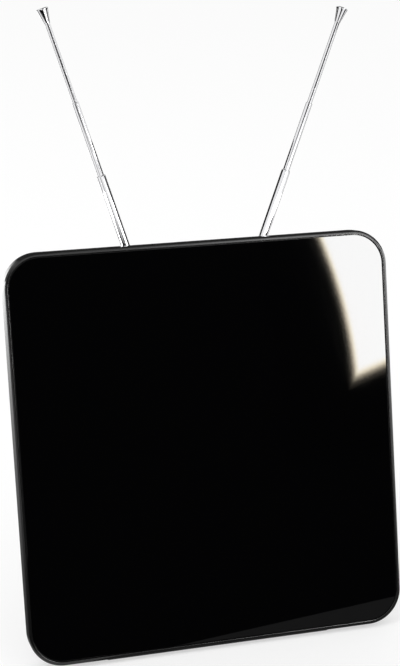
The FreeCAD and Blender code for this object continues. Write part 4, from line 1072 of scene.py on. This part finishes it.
# Plain cards: name, place, turn, width, height and level of glow.
for name, place, turn, width, height, glow_level in (
    ("dark_card", (0.325, -1.52, 0.25), upright, 1.35, 0.6, 0.003),
    ("dark_front_mat", (0.3, -0.79, 0.0005), flat, 1.8, 1.5, 0.003),
    ("grey_front_mat", (0.36, -0.016, 0.001), (0, 0, math.radians(-37)), 0.8, 0.5, 0.18),
    ("left_dark_card", (-0.82, -1.03, 0.2), rolled(0, -34), 0.68, 0.4, 0.4),
    ("far_dark_mat", (0.75, 1.63, 0.0005), flat, 1.7, 2.54, 0.02),
    ("dark_ceiling", (0, 0.4, 2.2), flat, 4.0, 3.4, 0.1),
    ("dark_high_card", (1.0, -1.53, 1.7), upright, 2.8, 1.0, 0.05),
    ("far_dark_card", (0.4, 2.9, 0.75), upright, 5.0, 1.5, 0.02),
    ("left_rod_card", (-0.12, -0.405, 0.38), rolled(-17), 0.36, 0.135, 0.01),
    ("right_rod_card", (-0.03, -0.35, 0.502), rolled(27.6), 0.545, 0.15, 0.01),
    ("left_tube_card", (0.36, 0.12, 0.2925), leant, 0.45, 0.105, 0.01),
    ("right_tube_card", (-0.25, 0.33, 0.34), rolled(8.4, 90), 0.49, 0.09, 0.01),
    ("white_rod_card", (0.315, -0.41, 0.51), upright, 0.49, 0.4, 1.0),
    ("low_white_rod_card", (0.43, -0.41, 0.195), upright, 0.26, 0.23, 1.0),
    ("white_tip_card", (0.1025, -0.05, 0.296), upright, 0.315, 0.032, 1.0),
    ("side_white_tube_card", (0.2, 0.03, 0.165), rolled(0, 90), 0.18, 0.07, 1.0),
    ("left_edge_card", (-0.3, 0.35, 0.15), rolled(0, 90), 0.46, 0.18, 0.3),
    ("softbox_side", (1.21, -1.49, 0.633), upright, 0.62, 0.966, 9.0),
):
    tree, glow = add_card(name, place, turn, width, height)
    glow.inputs["Strength"].default_value = glow_level

# Graded cards: the glow changes along the card, by its own coordinates.
for name, place, turn, width, height, level_at in (
    ("left_back_mat", (-0.275, 0.57, 0.001), flat, 0.35, 1.1,
     lambda tree, across, up: reckon(tree, "MINIMUM", growing(tree, up, 393, 1.35), 2.3)),
    ("left_far_mat", (-0.275, 2.01, 0.001), flat, 0.35, 1.78,
     lambda tree, across, up: between(tree, up, 2.3, 0.3, -0.5, 0.3)),
    ("white_tube_card", (0.025, -0.05, 0.249), upright, 0.27, 0.046,
     lambda tree, across, up: between(tree, across, 1, 3.4, -0.167, 0.167)),
    ("high_softbox", (1.2, -1.53, 0.875), upright, 2.4, 0.65,
     lambda tree, across, up: between(tree, across, 3, 12, -0.36, -0.285)),
    ("right_rim_card", (0.13, 0.0017, 0.1085), leant, 0.034, 0.2,
     lambda tree, across, up: growing(tree, up, 10, 2.2)),
    ("left_rim_card", (-0.13, 0.0173, 0.105), leant, 0.06, 0.2,
     lambda tree, across, up: growing(tree, up, 61, 2.4)),
):
    tree, glow = add_card(name, place, turn, width, height)
    tree.links.new(level_at(tree, *across_and_up(tree)), glow.inputs["Strength"])

# Softbox: its left edge is bowed, its lower edge slants, and both fade out through a warm tone.
BOX_LEFT, BOX_BOW, BOX_BOW_MIDDLE = 0.3805, 0.741, 0.36
BOX_LOW, BOX_LOW_FADE = 0.383, 0.76
BOX_SLANT, BOX_SLANT_START = -0.31, 0.381
BOX_FADE_START, BOX_FADE_END = -0.009, 0.0125
BOX_LEVEL = 24
BOX_TONES = (
    (0.3, (0.03, 0.027, 0.022)),
    (0.5, (0.25, 0.22, 0.165)),
    (0.7, (0.8, 0.72, 0.56)),
    (0.85, (1, 0.95, 0.85)),
)
tree, glow = add_card("softbox", (1.0, -1.5, 0.611), upright, 1, 1)
across, up = across_and_up(tree)
from_middle = reckon(tree, "ADD", up, BOX_BOW_MIDDLE)
bow = reckon(tree, "MULTIPLY", reckon(tree, "POWER", from_middle, 2), BOX_BOW)
inside_left = reckon(tree, "ADD", reckon(tree, "ADD", across, BOX_LEFT), bow)
slant = reckon(tree, "MULTIPLY", reckon(tree, "ADD", across, BOX_SLANT_START), BOX_SLANT)
over_low = reckon(tree, "ADD", reckon(tree, "ADD", up, BOX_LOW), slant)
inside_low = reckon(tree, "MULTIPLY", over_low, BOX_LOW_FADE)
inside = reckon(tree, "MINIMUM", inside_left, inside_low)
edge_ramp = tree.nodes.new("ShaderNodeValToRGB")
edge_ramp.color_ramp.elements[0].color = (0, 0, 0, 1)
edge_ramp.color_ramp.elements[1].color = (1, 1, 1, 1)
for spot, tone in BOX_TONES:
    edge_ramp.color_ramp.elements.new(spot).color = (*tone, 1)
tree.links.new(between(tree, inside, 0, 1, BOX_FADE_START, BOX_FADE_END), edge_ramp.inputs["Fac"])
tree.links.new(edge_ramp.outputs["Color"], glow.inputs["Color"])
glow.inputs["Strength"].default_value = BOX_LEVEL


# Camera: a long lens, a little above the panel and to its left. Its place is in the panel's own
# millimetres, and its dip and heading are in degrees.
LENS = 84.57
EYE_PLACE = (-194.9, -765.1, 254.6)
EYE_DIP = 18.98
EYE_HEADING = -14.87
eye = bpy.data.cameras.new("viewer")
eye.lens = LENS
viewer = bpy.data.objects.new("viewer", eye)
viewer.location = panel_place @ Vector(EYE_PLACE)
viewer.rotation_euler = (math.radians(90 - EYE_DIP), 0, math.radians(EYE_HEADING))
scene.collection.objects.link(viewer)
scene.camera = viewer
